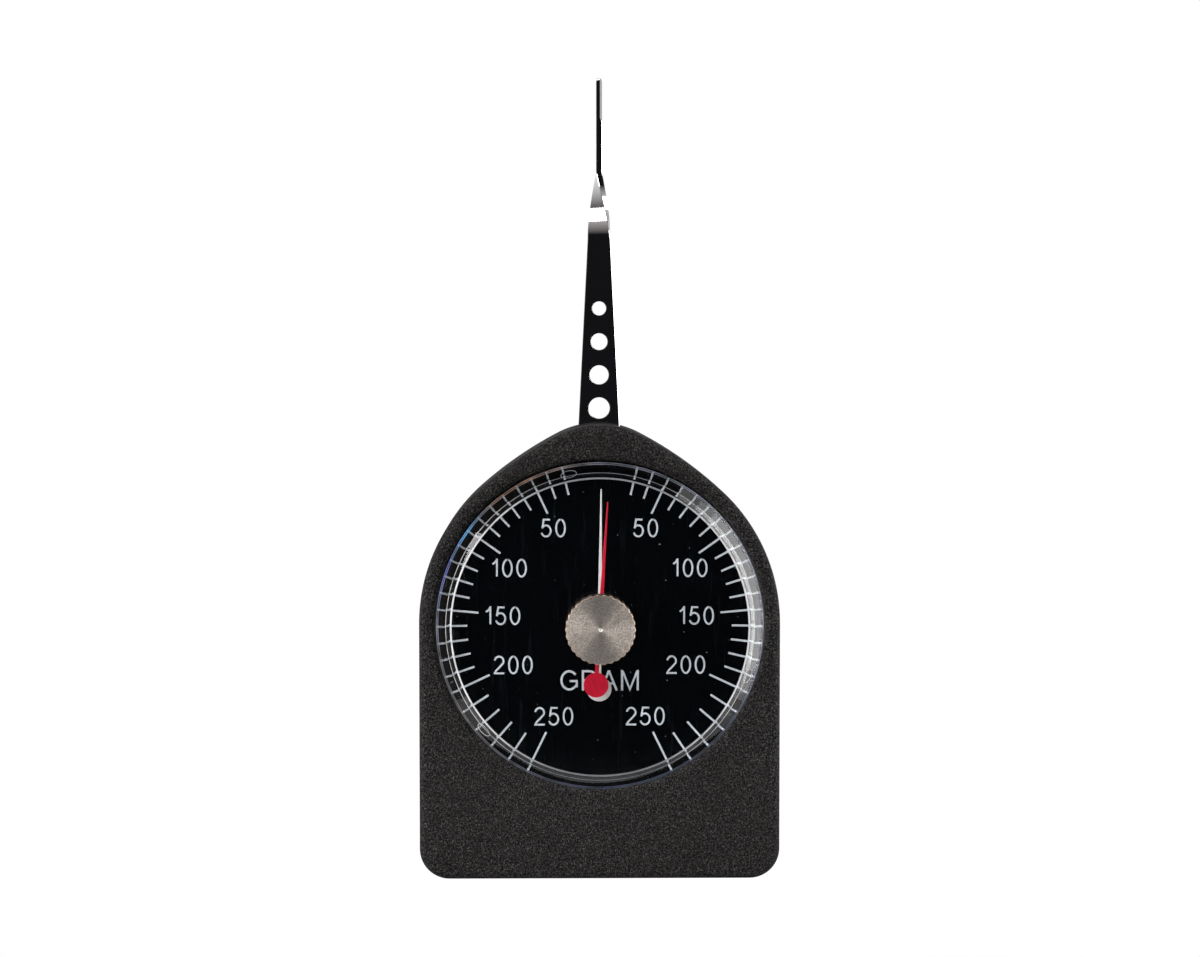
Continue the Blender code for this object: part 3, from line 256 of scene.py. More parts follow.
def flat_ring(outline, y):
    return [(x, y, z) for x, z in outline]


def prism(outline, front, rear):
    bm = bmesh.new()
    loft(bm, [flat_ring(outline, front), flat_ring(outline, rear)])
    return finished_mesh("prism", bm)


def turned_rings(profile, steps, x=0.0, z=0.0):
    return [flat_ring(circle(radius, x, z, steps), y) for radius, y in profile]


def add_turned(bm, profile, steps=PIN_STEPS, x=0.0, z=0.0, ring=False):
    """Turns (radius, y) points about an axis along Y. A ring's profile is a closed loop."""
    rows = []
    for radius, y in profile:
        if radius == 0:
            rows.append([bm.verts.new((x, y, z))])
        else:
            rows.append([bm.verts.new((px, y, pz)) for px, pz in circle(radius, x, z, steps)])
    pairs = list(zip(rows, rows[1:]))
    if ring:
        pairs.append((rows[-1], rows[0]))
    for near, far in pairs:
        for i in range(steps):
            j = (i + 1) % steps
            corners = [near[i % len(near)], near[j % len(near)]]
            corners += [far[j % len(far)], far[i % len(far)]]
            bm.faces.new(list(dict.fromkeys(corners)))


def cylinder_profile(radius, front, rear):
    return [(0, front), (radius, front), (radius, rear), (0, rear)]


def fillet(corner, radius, start_deg, end_deg, steps=EDGE_STEPS):
    """(radius, y) points of a rounded corner about its centre. 0 points forwards, 90 outwards."""
    points = []
    for i in range(steps + 1):
        angle = math.radians(start_deg + (end_deg - start_deg) * i / steps)
        points.append((corner[0] + radius * math.sin(angle), corner[1] - radius * math.cos(angle)))
    return points


def new_piece(name, mesh, body, finish):
    made = bpy.data.objects.new(name, mesh)
    bpy.context.scene.collection.objects.link(made)
    made.data.materials.clear()
    made.data.materials.append(finish)
    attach(made, body)
    return made


def cut_mesh(mesh, cutters, join=()):
    """The mesh with others joined on and then cut out, and with clean shading."""
    target = bpy.data.objects.new("blank", mesh)
    bpy.context.scene.collection.objects.link(target)
    tools = []
    steps = [(extra, "UNION") for extra in join] + [(cutter, "DIFFERENCE") for cutter in cutters]
    for other, operation in steps:
        tool = bpy.data.objects.new("tool", other)
        bpy.context.scene.collection.objects.link(tool)
        tools.append(tool)
        modifier = target.modifiers.new("combine", "BOOLEAN")
        modifier.object = tool
        modifier.operation = operation
        modifier.solver = "EXACT"
        weld = target.modifiers.new("weld", "WELD")
        weld.merge_threshold = MERGE
    bpy.context.view_layer.update()
    graph = bpy.context.evaluated_depsgraph_get()
    made = bpy.data.meshes.new_from_object(target.evaluated_get(graph))
    for used in [target] + tools:
        bpy.data.objects.remove(used, do_unlink=True)
    made.shade_smooth()
    made.set_sharp_from_angle(angle=math.radians(35.0))
    return made


def level_shading(piece):
    """Keeps flat faces flat where rounded edges meet them."""
    modifier = piece.modifiers.new("level_shading", "WEIGHTED_NORMAL")
    modifier.keep_sharp = True
    modifier.weight = 100


def add_node(tree, kind, **settings):
    made = tree.nodes.new("ShaderNode" + kind)
    for name, value in settings.items():
        if hasattr(made, name):
            setattr(made, name, value)
        else:
            made.inputs[name.replace("_", " ")].default_value = value
    return made


def new_material(name, colour, roughness, metallic=0.0):
    """A material with its tree, its shader and object coordinates in metres."""
    made = bpy.data.materials.new(name)
    made.use_nodes = True
    made.diffuse_color = (*colour, 1.0)
    tree = made.node_tree
    shader = tree.nodes["Principled BSDF"]
    shader.inputs["Base Color"].default_value = (*colour, 1.0)
    shader.inputs["Roughness"].default_value = roughness
    shader.inputs["Metallic"].default_value = metallic
    place = add_node(tree, "TexCoord").outputs["Object"]
    return made, tree, shader, place


def noise(tree, place, scale, detail=2.0, roughness=0.5, stretch=None):
    """Noise texture's value. Stretch scales the coordinates first."""
    if stretch:
        mapping = add_node(tree, "Mapping")
        mapping.inputs["Scale"].default_value = stretch
        tree.links.new(place, mapping.inputs["Vector"])
        place = mapping.outputs["Vector"]
    texture = add_node(tree, "TexNoise", Scale=scale, Detail=detail, Roughness=roughness)
    tree.links.new(place, texture.inputs["Vector"])
    return texture.outputs["Fac"]


def remap(tree, value, low, high, to_low=0.0, to_high=1.0):
    ramp = add_node(tree, "MapRange", From_Min=low, From_Max=high, To_Min=to_low, To_Max=to_high)
    tree.links.new(value, ramp.inputs["Value"])
    return ramp.outputs["Result"]


def mixed(tree, factor, first, second):
    """Colour between two, which may be colours or outputs."""
    mix = add_node(tree, "Mix", data_type="RGBA")
    if hasattr(factor, "is_output"):
        tree.links.new(factor, mix.inputs["Factor"])
    else:
        mix.inputs["Factor"].default_value = factor
    for socket, value in ((mix.inputs[6], first), (mix.inputs[7], second)):
        if hasattr(value, "is_output"):
            tree.links.new(value, socket)
        else:
            socket.default_value = (*value, 1.0)
    return mix.outputs[2]


def add_bump(tree, shader, value, strength, distance, normal=None):
    bump = add_node(tree, "Bump", Strength=strength, Distance=distance)
    tree.links.new(value, bump.inputs["Height"])
    if normal:
        tree.links.new(normal, bump.inputs["Normal"])
    tree.links.new(bump.outputs["Normal"], shader.inputs["Normal"])
    return bump.outputs["Normal"]


def textured_paint():
    """Black stoved paint with a fine grain, and pale dots painted in as highlights on its bumps."""
    made, tree, shader, place = new_material("case_paint", (0.02, 0.019, 0.02), 0.7)
    grain = noise(tree, place, 3600, 2.0, 0.5)
    fine = noise(tree, place, 4800, 1.0, 0.5)
    broad = noise(tree, place, 90, 2.0, 0.5)
    base = mixed(tree, remap(tree, grain, 0.44, 0.62), (0.0003, 0.0003, 0.0003), (0.042, 0.039, 0.039))
    # Pale dots painted in as highlights on the bumps of the grain.
    speck_highlights = remap(tree, fine, 0.58, 0.72)
    base = mixed(tree, speck_highlights, base, (0.12, 0.114, 0.11))
    base = mixed(tree, remap(tree, broad, 0.3, 0.7, 0.0, 0.25), base, (0.010, 0.0085, 0.008))
    tree.links.new(base, shader.inputs["Base Color"])
    tree.links.new(remap(tree, grain, 0.3, 0.7, 0.55, 0.8), shader.inputs["Roughness"])
    shader.inputs["Specular IOR Level"].default_value = 0.08
    lift = add_node(tree, "Math", operation="ADD")
    tree.links.new(grain, lift.inputs[0])
    tree.links.new(remap(tree, fine, 0.0, 1.0, 0.0, 0.4), lift.inputs[1])
    add_bump(tree, shader, lift.outputs[0], 0.9, 0.00025)
    return made


def dial_black():
    """Glossy black with faint upright hairlines and dust."""
    made, tree, shader, place = new_material("dial_paint", (0.004, 0.005, 0.006), 0.3)
    hairs = noise(tree, place, 500, 3.0, 0.6, (2.0, 1.0, 0.2))
    dust = noise(tree, place, 1500, 1.0, 0.4)
    shown = remap(tree, hairs, 0.6, 0.8, 0.0, 0.7)
    base = mixed(tree, shown, (0.0008, 0.0012, 0.0018), (0.006, 0.009, 0.011))
    base = mixed(tree, remap(tree, dust, 0.78, 0.82), base, (0.16, 0.18, 0.18))
    tree.links.new(base, shader.inputs["Base Color"])
    tree.links.new(remap(tree, hairs, 0.3, 0.7, 0.15, 0.25), shader.inputs["Roughness"])
    shader.inputs["Specular IOR Level"].default_value = 0.06
    return made


def dial_print():
    """Pale screen print, slightly uneven."""
    made, tree, shader, place = new_material("dial_print", (0.62, 0.66, 0.70), 0.5)
    patches = noise(tree, place, 3500, 2.0, 0.6)
    base = mixed(tree, remap(tree, patches, 0.35, 0.7), (0.50, 0.54, 0.58), (0.68, 0.71, 0.75))
    tree.links.new(base, shader.inputs["Base Color"])
    return made


def clear_plastic():
    """Clear acrylic, very slightly dulled in streaks by handling."""
    made, tree, shader, place = new_material("clear_acrylic", (0.97, 0.985, 0.99), 0.0)
    shader.inputs["Transmission Weight"].default_value = 1.0
    shader.inputs["IOR"].default_value = 1.49
    hairs = noise(tree, place, 500, 2.0, 0.5, (3.0, 1.0, 0.15))
    tree.links.new(remap(tree, hairs, 0.62, 0.8, 0.0, 0.03), shader.inputs["Roughness"])
    return made


def edge_shine():
    """Painted highlight along the crystal's edges: pale, brightest at the left and right sides, and broken
    by dark noise.
    """
    made, tree, shader, place = new_material("crystal_edge", (0.7, 0.72, 0.74), 0.35)
    # Painted highlight, brighter towards the left and right sides.
    split = add_node(tree, "SeparateXYZ")
    tree.links.new(place, split.inputs["Vector"])
    side = add_node(tree, "Math", operation="ABSOLUTE")
    tree.links.new(split.outputs["X"], side.inputs[0])
    level = remap(tree, side.outputs[0], CRYSTAL_RADIUS / 3, CRYSTAL_RADIUS * 0.8)
    # Noise breaks the painted highlight with darker patches.
    highlight_breaks = noise(tree, place, 420, 2.0, 0.5)
    base = mixed(tree, level, (0.20, 0.21, 0.23), (0.72, 0.72, 0.74))
    base = mixed(tree, remap(tree, highlight_breaks, 0.5, 0.75, 0.0, 0.6), base, (0.08, 0.09, 0.10))
    tree.links.new(base, shader.inputs["Base Color"])
    return made


def rim_tints():
    """Painted glints of light split into colours along the rim, in the order of the rim glint colour table.
    """
    made, tree, shader, place = new_material("crystal_rim", (0.2, 0.22, 0.26), 0.35)
    split = add_node(tree, "SeparateXYZ")
    tree.links.new(place, split.inputs["Vector"])
    rise = add_node(tree, "Math", operation="SUBTRACT")
    rise.inputs[1].default_value = DIAL_HEIGHT
    tree.links.new(split.outputs["Z"], rise.inputs[0])
    turn = add_node(tree, "Math", operation="ARCTAN2")
    tree.links.new(split.outputs["X"], turn.inputs[0])
    tree.links.new(rise.outputs[0], turn.inputs[1])
    ramp = add_node(tree, "ValToRGB")
    stops = ramp.color_ramp.elements
    while len(stops) > 1:
        stops.remove(stops[-1])
    for i, (angle_deg, colour) in enumerate(RIM_GLINT_COLOURS):
        stop = stops[0] if i == 0 else stops.new(0.5)
        stop.position = (angle_deg + 180) / 360
        stop.color = (*colour, 1.0)
    tree.links.new(remap(tree, turn.outputs[0], -math.pi, math.pi), ramp.inputs["Fac"])
    # Noise breaks the painted glints with dark patches.
    highlight_breaks = noise(tree, place, 300, 2.0, 0.5)
    base = mixed(tree, remap(tree, highlight_breaks, 0.42, 0.7, 0.0, 0.9), ramp.outputs["Color"], (0.012, 0.014, 0.018))
    tree.links.new(base, shader.inputs["Base Color"])
    return made


def polished_steel():
    """Mirror steel with faint lengthwise lines and small pits."""
    made, tree, shader, place = new_material("mirror_steel", (0.74, 0.74, 0.76), 0.06, 1.0)
    lines = noise(tree, place, 1200, 2.0, 0.5, (4.0, 4.0, 0.1))
    pits = noise(tree, place, 2600, 1.0, 0.5)
    base = mixed(tree, remap(tree, pits, 0.72, 0.78), (0.74, 0.74, 0.76), (0.35, 0.35, 0.37))
    tree.links.new(base, shader.inputs["Base Color"])
    tree.links.new(remap(tree, lines, 0.3, 0.8, 0.04, 0.12), shader.inputs["Roughness"])
    add_bump(tree, shader, lines, 0.04, 0.00002)
    return made


def turned_nickel():
    """Faced nickel: fine rings about the knob's axis, with a brown cast, painted shade above and below the
    centre and a painted highlight on the pip.
    """
    made, tree, shader, place = new_material("turned_nickel", (0.40, 0.34, 0.29), 0.4, 0.65)
    shader.inputs["Anisotropic"].default_value = 0.8
    shader.inputs["Anisotropic Rotation"].default_value = 0.25
    tangent = add_node(tree, "Tangent", direction_type="RADIAL", axis="Y")
    tree.links.new(tangent.outputs["Tangent"], shader.inputs["Tangent"])
    shift = add_node(tree, "VectorMath", operation="SUBTRACT")
    shift.inputs[1].default_value = (0.0, 0.0, DIAL_HEIGHT)
    tree.links.new(place, shift.inputs[0])
    split = add_node(tree, "SeparateXYZ")
    tree.links.new(shift.outputs[0], split.inputs["Vector"])
    square = add_node(tree, "CombineXYZ")
    tree.links.new(split.outputs["X"], square.inputs["X"])
    tree.links.new(split.outputs["Z"], square.inputs["Y"])
    length = add_node(tree, "VectorMath", operation="LENGTH")
    tree.links.new(square.outputs[0], length.inputs[0])
    turn = add_node(tree, "Math", operation="ARCTAN2")
    tree.links.new(split.outputs["X"], turn.inputs[0])
    tree.links.new(split.outputs["Z"], turn.inputs[1])
    polar = add_node(tree, "CombineXYZ")
    tree.links.new(length.outputs["Value"], polar.inputs["X"])
    tree.links.new(remap(tree, turn.outputs[0], -math.pi, math.pi, -KNOB_LAP, KNOB_LAP), polar.inputs["Y"])
    rings = noise(tree, polar.outputs[0], 6000, 3.0, 0.6)
    grit = noise(tree, place, 3600, 2.0, 0.7)
    bright = noise(tree, place, 3900, 2.0, 0.7)
    patches = noise(tree, place, 620, 2.0, 0.6)
    base = mixed(tree, remap(tree, rings, 0.3, 0.7), (0.68, 0.59, 0.51), (0.98, 0.89, 0.81))
    base = mixed(tree, remap(tree, patches, 0.45, 0.7, 0.0, 0.5), base, (0.42, 0.35, 0.29))
    base = mixed(tree, remap(tree, grit, 0.45, 0.64, 0.0, 0.75), base, (0.22, 0.19, 0.165))
    base = mixed(tree, remap(tree, bright, 0.56, 0.7, 0.0, 0.6), base, (0.98, 0.90, 0.83))
    # Painted shade: darker above and below the centre, standing in for the dark wedges that the turned rings
    # reflect there.
    upright = add_node(tree, "Math", operation="DIVIDE")
    tree.links.new(split.outputs["Z"], upright.inputs[0])
    tree.links.new(length.outputs["Value"], upright.inputs[1])
    both = add_node(tree, "Math", operation="ABSOLUTE")
    tree.links.new(upright.outputs[0], both.inputs[0])
    base = mixed(tree, remap(tree, both.outputs[0], 0.7, 1.0, 0.0, 0.65), base, (0.13, 0.12, 0.115))
    front, chamfer = KNOB_LOW.y, KNOB_FACE_CHAMFER
    edge = remap(tree, split.outputs["Y"], front + chamfer / 8, front + chamfer / 4)
    base = mixed(tree, edge, base, (0.46, 0.32, 0.22))
    sides = remap(tree, split.outputs["Y"], front + chamfer, front + 2 * chamfer)
    base = mixed(tree, sides, base, (0.05, 0.04, 0.033))
    # Painted highlight: the centre pip painted near white.
    pip = remap(tree, length.outputs["Value"], KNOB_PIP_RADIUS, KNOB_PIP_RADIUS * 1.2)
    base = mixed(tree, pip, (1.0, 0.97, 0.9), base)
    tree.links.new(base, shader.inputs["Base Color"])
    tree.links.new(remap(tree, rings, 0.3, 0.7, 0.32, 0.46), shader.inputs["Roughness"])
    add_bump(tree, shader, rings, 0.12, 0.00002)
    return made


def paint(name, colour, worn, roughness, stretch):
    """Brushed-on pointer paint with small bare marks."""
    made, tree, shader, place = new_material(name, colour, roughness)
    shader.inputs["Specular IOR Level"].default_value = 0.2
    strokes = noise(tree, place, 3000, 3.0, 0.6, stretch)
    marks = noise(tree, place, 2200, 2.0, 0.5)
    base = mixed(tree, remap(tree, strokes, 0.4, 0.7, 0.0, 0.5), colour, worn)
    base = mixed(tree, remap(tree, marks, 0.68, 0.74, 0.0, 0.6), base, tuple(part * 0.3 for part in worn))
    tree.links.new(base, shader.inputs["Base Color"])
    add_bump(tree, shader, strokes, 0.3, 0.00003)
    return made


def plain_metal(name, colour, dark, roughness, stretch):
    """Machined metal of the movement, with brushing along one way."""
    made, tree, shader, place = new_material(name, colour, roughness, 1.0)
    brushing = noise(tree, place, 1400, 3.0, 0.6, stretch)
    stains = noise(tree, place, 300, 2.0, 0.5)
    base = mixed(tree, remap(tree, stains, 0.45, 0.75, 0.0, 0.6), colour, dark)
    tree.links.new(base, shader.inputs["Base Color"])
    tree.links.new(
        remap(tree, brushing, 0.3, 0.7, roughness * 0.7, roughness * 1.4), shader.inputs["Roughness"]
    )
    add_bump(tree, shader, brushing, 0.15, 0.00002)
    return made


# Colours of the painted glints on the crystal's rim, by angle in degrees clockwise from straight up
RIM_GLINT_COLOURS = (
    (-180, (0.05, 0.07, 0.13)),
    (-120, (0.13, 0.12, 0.12)),
    (-90, (0.11, 0.13, 0.17)),
    (-68, (0.03, 0.04, 0.24)),
    (-54, (0.03, 0.26, 0.55)),
    (-47, (0.10, 0.12, 0.16)),
    (-36, (0.26, 0.15, 0.09)),
    (0, (0.12, 0.13, 0.16)),
    (45, (0.22, 0.16, 0.11)),
    (70, (0.55, 0.28, 0.10)),
    (90, (0.60, 0.52, 0.38)),
    (108, (0.12, 0.30, 0.45)),
    (140, (0.03, 0.06, 0.22)),
    (180, (0.05, 0.07, 0.13)),
)

CASE_PAINT = textured_paint()
DIAL_BLACK = dial_black()
DIAL_PRINT = dial_print()
ACRYLIC = clear_plastic()
EDGE_SHINE = edge_shine()
RIM_SHINE = rim_tints()
STEEL = polished_steel()
NICKEL = turned_nickel()
WHITE = paint("pointer_white", (0.78, 0.77, 0.75), (0.55, 0.54, 0.52), 0.5, (1.0, 1.0, 0.2))
RED = paint("pointer_red", (0.60, 0.006, 0.03), (0.34, 0.004, 0.02), 0.5, (1.0, 1.0, 0.25))
BRASS = plain_metal("brushed_brass", (0.72, 0.50, 0.20), (0.42, 0.28, 0.12), 0.3, (0.2, 1.0, 3.0))
SCREW_STEEL = plain_metal("screw_steel", (0.36, 0.36, 0.37), (0.16, 0.16, 0.17), 0.34, (1.0, 1.0, 1.0))
SPRING_STEEL = plain_metal("spring_steel", (0.35, 0.37, 0.42), (0.16, 0.18, 0.24), 0.26, (2.0, 2.0, 0.2))

SLOT_FINISHES = {
    "textured_black_paint": CASE_PAINT,
    "dial_black": DIAL_BLACK,
    "clear_plastic": ACRYLIC,
    "polished_steel": STEEL,
    "spring_steel": SPRING_STEEL,
    "screw_steel": SCREW_STEEL,
    "turned_nickel": NICKEL,
    "brass": BRASS,
    "white_paint": WHITE,
    "red_paint": RED,
}


def dress_kept_nodes():
    """Gives each CAD node the finish of its slot."""
    for node in frame["nodes"].values():
        for slot in node.material_slots:
            slot.material = SLOT_FINISHES[slot.material.name.split(".")[0]]


def case_outline(inset=0.0):
    """Outline of the case, drawn in by the inset: crown, shoulder, side and corner arcs, all tangent."""
    side_height = DIAL_HEIGHT + SIDE_ARC_RISE
    crown_height = CROWN_TOP - CROWN_RADIUS
    rise = crown_height - side_height
    to_side = SHOULDER_RADIUS - SIDE_RADIUS
    to_crown = SHOULDER_RADIUS - CROWN_RADIUS
    drop = (to_crown**2 - to_side**2 - rise**2) / (2 * rise)
    offset = math.sqrt(to_side**2 - drop**2)
    crown_end = math.atan2(offset, rise + drop)
    shoulder_end = math.atan2(offset, drop)
    corner = (SIDE_RADIUS - CORNER_RADIUS, CORNER_RADIUS)
    right = arc(CROWN_RADIUS - inset, (0, crown_height), 0, crown_end, CORNER_ARC_STEPS)
    shoulder_centre = (-offset, side_height - drop)
    right += arc(SHOULDER_RADIUS - inset, shoulder_centre, crown_end, shoulder_end, CORNER_ARC_STEPS)[1:]
    right += arc(SIDE_RADIUS - inset, (0, side_height), shoulder_end, math.pi / 2, LONG_ARC_STEPS)[1:]
    right += arc(CORNER_RADIUS - inset, corner, math.pi / 2, math.pi, CORNER_ARC_STEPS)
    left = [(-x, z) for x, z in right[:0:-1]]
    return right + left


def edge_pairs(radius):
    """(inset, depth) pairs of a rounded edge, from the face inwards."""
    pairs = []
    for i in range(EDGE_STEPS + 1):
        angle = math.pi / 2 * i / EDGE_STEPS
        pairs.append((radius * (1 - math.sin(angle)), radius * (1 - math.cos(angle))))
    return pairs


def shell_mesh(front, rear, front_radius, rear_radius):
    """Solid with the outline of the case and rounded edges."""
    rings = [flat_ring(case_outline(inset), front + back) for inset, back in edge_pairs(front_radius)]
    rings += [flat_ring(case_outline(inset), rear - back) for inset, back in edge_pairs(rear_radius)[::-1]]
    bm = bmesh.new()
    loft(bm, rings)
    return finished_mesh("shell", bm)


def screw_places():
    """(name, x, z) of the screws that hold the rear cover."""
    names = ("upper_left", "upper_right", "lower_left", "lower_right")
    places = []
    for name in names:
        low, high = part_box("cover_screw_" + name)
        middle = (low + high) / 2
        places.append((name, middle.x, middle.z))
    return places


def lug_mesh(grow, front, rear):
    """The three lugs of the crystal, or their pockets in the case."""
    bm = bmesh.new()
    half = LUG_HALF_WIDTH + grow
    inner = CRYSTAL_RADIUS - CRYSTAL_WALL / 3
    outer = CRYSTAL_RADIUS + LUG_REACH + grow
    for angle in LUG_ANGLES_DEG:
        turn = Matrix.Rotation(math.radians(angle), 3, "Y")
        outline = [(-half, inner), (half, inner), (half, outer), (-half, outer)]
        rings = []
        for y in (front, rear):
            ring = [turn @ Vector((x, y, z)) for x, z in outline]
            rings.append([(p.x, p.y, p.z + DIAL_HEIGHT) for p in ring])
        loft(bm, rings)
    return finished_mesh("lugs", bm)


def make_case():
    shell = shell_mesh(CASE_FRONT, HOUSING_HIGH.y, FRONT_EDGE_RADIUS, SEAM_RADIUS)
    hollow = prism(case_outline(WALL), FLOOR_REAR, HOUSING_HIGH.y + OVERRUN)
    bore = CRYSTAL_RADIUS + GAP
    edge = fillet((bore + WELL_EDGE_RADIUS, CASE_FRONT + WELL_EDGE_RADIUS), WELL_EDGE_RADIUS, 0, -90)
    wide = bore + WELL_EDGE_RADIUS
    profile = [(0, CASE_FRONT - OVERRUN), (wide, CASE_FRONT - OVERRUN)] + edge
    profile += [(bore, FLOOR_FRONT), (0, FLOOR_FRONT)]
    well = bmesh.new()
    add_turned(well, profile, ROUND_STEPS, 0, DIAL_HEIGHT)
    pockets = lug_mesh(GAP, SKIRT_END - LUG_HEIGHT - GAP, SKIRT_END + GAP / 2)
    middle = (LEVER_LOW.y + LEVER_HIGH.y) / 2
    flat_half = LEVER_HALF_THICKNESS + SLOT_CLEARANCE
    inner = CROWN_RADIUS - WALL
    low = CROWN_TOP - CROWN_RADIUS + math.sqrt(inner**2 - SLOT_HALF_WIDTH**2) - GAP
    outline = [(-SLOT_HALF_WIDTH, low), (SLOT_HALF_WIDTH, low)]
    outline += [(SLOT_HALF_WIDTH, CROWN_TOP + OVERRUN), (-SLOT_HALF_WIDTH, CROWN_TOP + OVERRUN)]
    slot = prism(outline, middle - flat_half, middle + flat_half)
    mesh = cut_mesh(shell, [hollow, finished_mesh("well", well), pockets, slot])
    case = new_piece("case_shell", mesh, "case", CASE_PAINT)
    level_shading(case)
    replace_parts(case, "case_housing")


def make_rear_cover():
    blank = shell_mesh(COVER_LOW.y, COVER_HIGH.y, SEAM_RADIUS, REAR_EDGE_RADIUS)
    holes = bmesh.new()
    head = SCREW_HEAD_RADIUS + FIT
    shank = SCREW_SHANK_RADIUS + FIT
    profile = [
        (0, COVER_LOW.y - OVERRUN),
        (shank, COVER_LOW.y - OVERRUN),
        (shank, COVER_HIGH.y - SCREW_HEAD_THICKNESS - FIT),
        (head, COVER_HIGH.y - FIT),
        (head, COVER_HIGH.y + OVERRUN),
        (0, COVER_HIGH.y + OVERRUN),
    ]
    for _, x, z in screw_places():
        add_turned(holes, profile, PIN_STEPS, x, z)
    mesh = cut_mesh(blank, [finished_mesh("holes", holes)])
    cover = new_piece("back_shell", mesh, "case", CASE_PAINT)
    level_shading(cover)
    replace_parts(cover, "rear_cover")


def cross_outline(reach, width):
    half = width / 2
    points = []
    for turn in range(4):
        for x, z in ((half, reach), (half, half), (reach, half)):
            for _ in range(turn):
                x, z = z, -x
            points.append((x, z))
    return points


def make_cover_screws():
    """Countersunk cross-head screws, each turned a little differently."""
    low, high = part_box("cover_screw_upper_left")
    for i, (name, x, z) in enumerate(screw_places()):
        rim = fillet((SCREW_HEAD_RADIUS - SCREW_DISH, high.y - SCREW_DISH), SCREW_DISH, 100, 180, 4)
        profile = [
            (0, low.y),
            (SCREW_SHANK_RADIUS, low.y),
            (SCREW_SHANK_RADIUS, high.y - SCREW_HEAD_THICKNESS),
        ]
        profile += rim + [(0, high.y)]
        blank = bmesh.new()
        add_turned(blank, profile)
        cross = bmesh.new()
        deep = high.y - SCREW_CROSS_DEPTH
        loft(
            cross,
            [
                flat_ring(cross_outline(SCREW_CROSS_REACH / 2, SCREW_CROSS_WIDTH / 2), deep),
                flat_ring(cross_outline(SCREW_CROSS_REACH, SCREW_CROSS_WIDTH), high.y + MERGE),
                flat_ring(cross_outline(SCREW_CROSS_REACH, SCREW_CROSS_WIDTH), high.y + OVERRUN),
            ],
        )
        mesh = cut_mesh(finished_mesh("blank", blank), [finished_mesh("cross", cross)])
        mesh.transform(Matrix.Rotation(math.radians(20 + 35 * i), 4, "Y"))
        mesh.transform(Matrix.Translation((x, 0, z)))
        screw = new_piece("back_screw_" + name, mesh, "case", SCREW_STEEL)
        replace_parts(screw, "cover_screw_" + name)


def scale_angle(value):
    """Angle of a value on the dial in radians from straight up."""
    for (low, low_deg), (high, high_deg) in zip(SCALE_POINTS, SCALE_POINTS[1:]):
        if value <= high:
            break
    return math.radians(low_deg + (high_deg - low_deg) * (value - low) / (high - low))


def ribbon(bm, points, width, level):
    """Thin flat strip along (x, z) points on the dial, with square ends."""
    half = width / 2
    sides = []
    for i, point in enumerate(points):
        here = Vector(point)
        before = (here - Vector(points[i - 1])).normalized() if i else None
        after = (Vector(points[i + 1]) - here).normalized() if i + 1 < len(points) else None
        if before and after:
            along = (before + after).normalized()
            reach = half / max(along.dot(after), 0.5)
        else:
            along = before or after
            reach = half
        across = Vector((along.y, -along.x)) * reach
        sides.append((here + across, here - across))
    top = DIAL_FRONT - MARK_THICKNESS * (1 + level / 8)
    rows = []
    for left, right in sides:
        row = [bm.verts.new((side.x, top, side.y + DIAL_HEIGHT)) for side in (left, right)]
        row += [bm.verts.new((side.x, DIAL_FRONT + FIT / 8, side.y + DIAL_HEIGHT)) for side in (right, left)]
        rows.append(row)
    for near, far in zip(rows, rows[1:]):
        for i in range(4):
            j = (i + 1) % 4
            bm.faces.new((near[i], near[j], far[j], far[i]))
    bm.faces.new(rows[0])
    bm.faces.new(rows[-1])


def bowl(centre, size, start_deg, end_deg, steps=18):
    """Points of an elliptical arc, with angles clockwise from straight up."""
    points = []
    for i in range(steps + 1):
        angle = math.radians(start_deg + (end_deg - start_deg) * i / steps)
        points.append((centre[0] + size[0] * math.sin(angle), centre[1] + size[1] * math.cos(angle)))
    return points


def glyph_strokes(letter):
    """(width, strokes) of a letter whose height is 1 between the middles of its strokes."""
    if letter == "0":
        return 0.52, [bowl((0.26, 0.5), (0.26, 0.5), 0, 372, 32)]
    if letter == "1":
        return 0.30, [[(0.26, 0.0), (0.26, 1.06)], [(0.24, 0.98), (0.13, 0.82), (0.0, 0.74)]]
    if letter == "2":
        top = bowl((0.26, 0.72), (0.26, 0.28), -80, 115, 16)
        return 0.52, [top + [(0.30, 0.38), (0.08, 0.16), (0.0, 0.0)], [(-0.06, 0.0), (0.56, 0.0)]]
    if letter == "5":
        curve = bowl((0.24, 0.33), (0.28, 0.33), -52, 250, 20)
        return 0.52, [[(0.48, 1.0), (0.08, 1.0)], [(0.12, 1.06), (0.02, 0.48)], curve]
    if letter == "G":
        curve = bowl((0.38, 0.5), (0.38, 0.5), 52, -230, 26)
        return 0.76, [curve + [(0.74, 0.2)], [(0.74, 0.12), (0.74, 0.46)], [(0.40, 0.46), (0.79, 0.46)]]
    if letter == "R":
        top = [(0.0, 1.0), (0.34, 1.0)] + bowl((0.34, 0.75), (0.24, 0.25), 12, 168, 10) + [(0.0, 0.5)]
        return 0.62, [[(0.0, -0.06), (0.0, 1.06)], top, [(0.30, 0.5), (0.46, 0.36), (0.64, -0.05)]]
    if letter == "A":
        legs = [(-0.02, -0.06), (0.36, 1.03), (0.74, -0.06)]
        return 0.72, [legs[:2], legs[1:], [(0.1, 0.33), (0.62, 0.33)]]
    if letter == "M":
        return 0.76, [
            [(0.0, -0.06), (0.0, 1.06)],
            [(0.03, 1.0), (0.38, 0.0), (0.73, 1.0)],
            [(0.76, 1.06), (0.76, -0.06)],
        ]
    raise ValueError(letter)


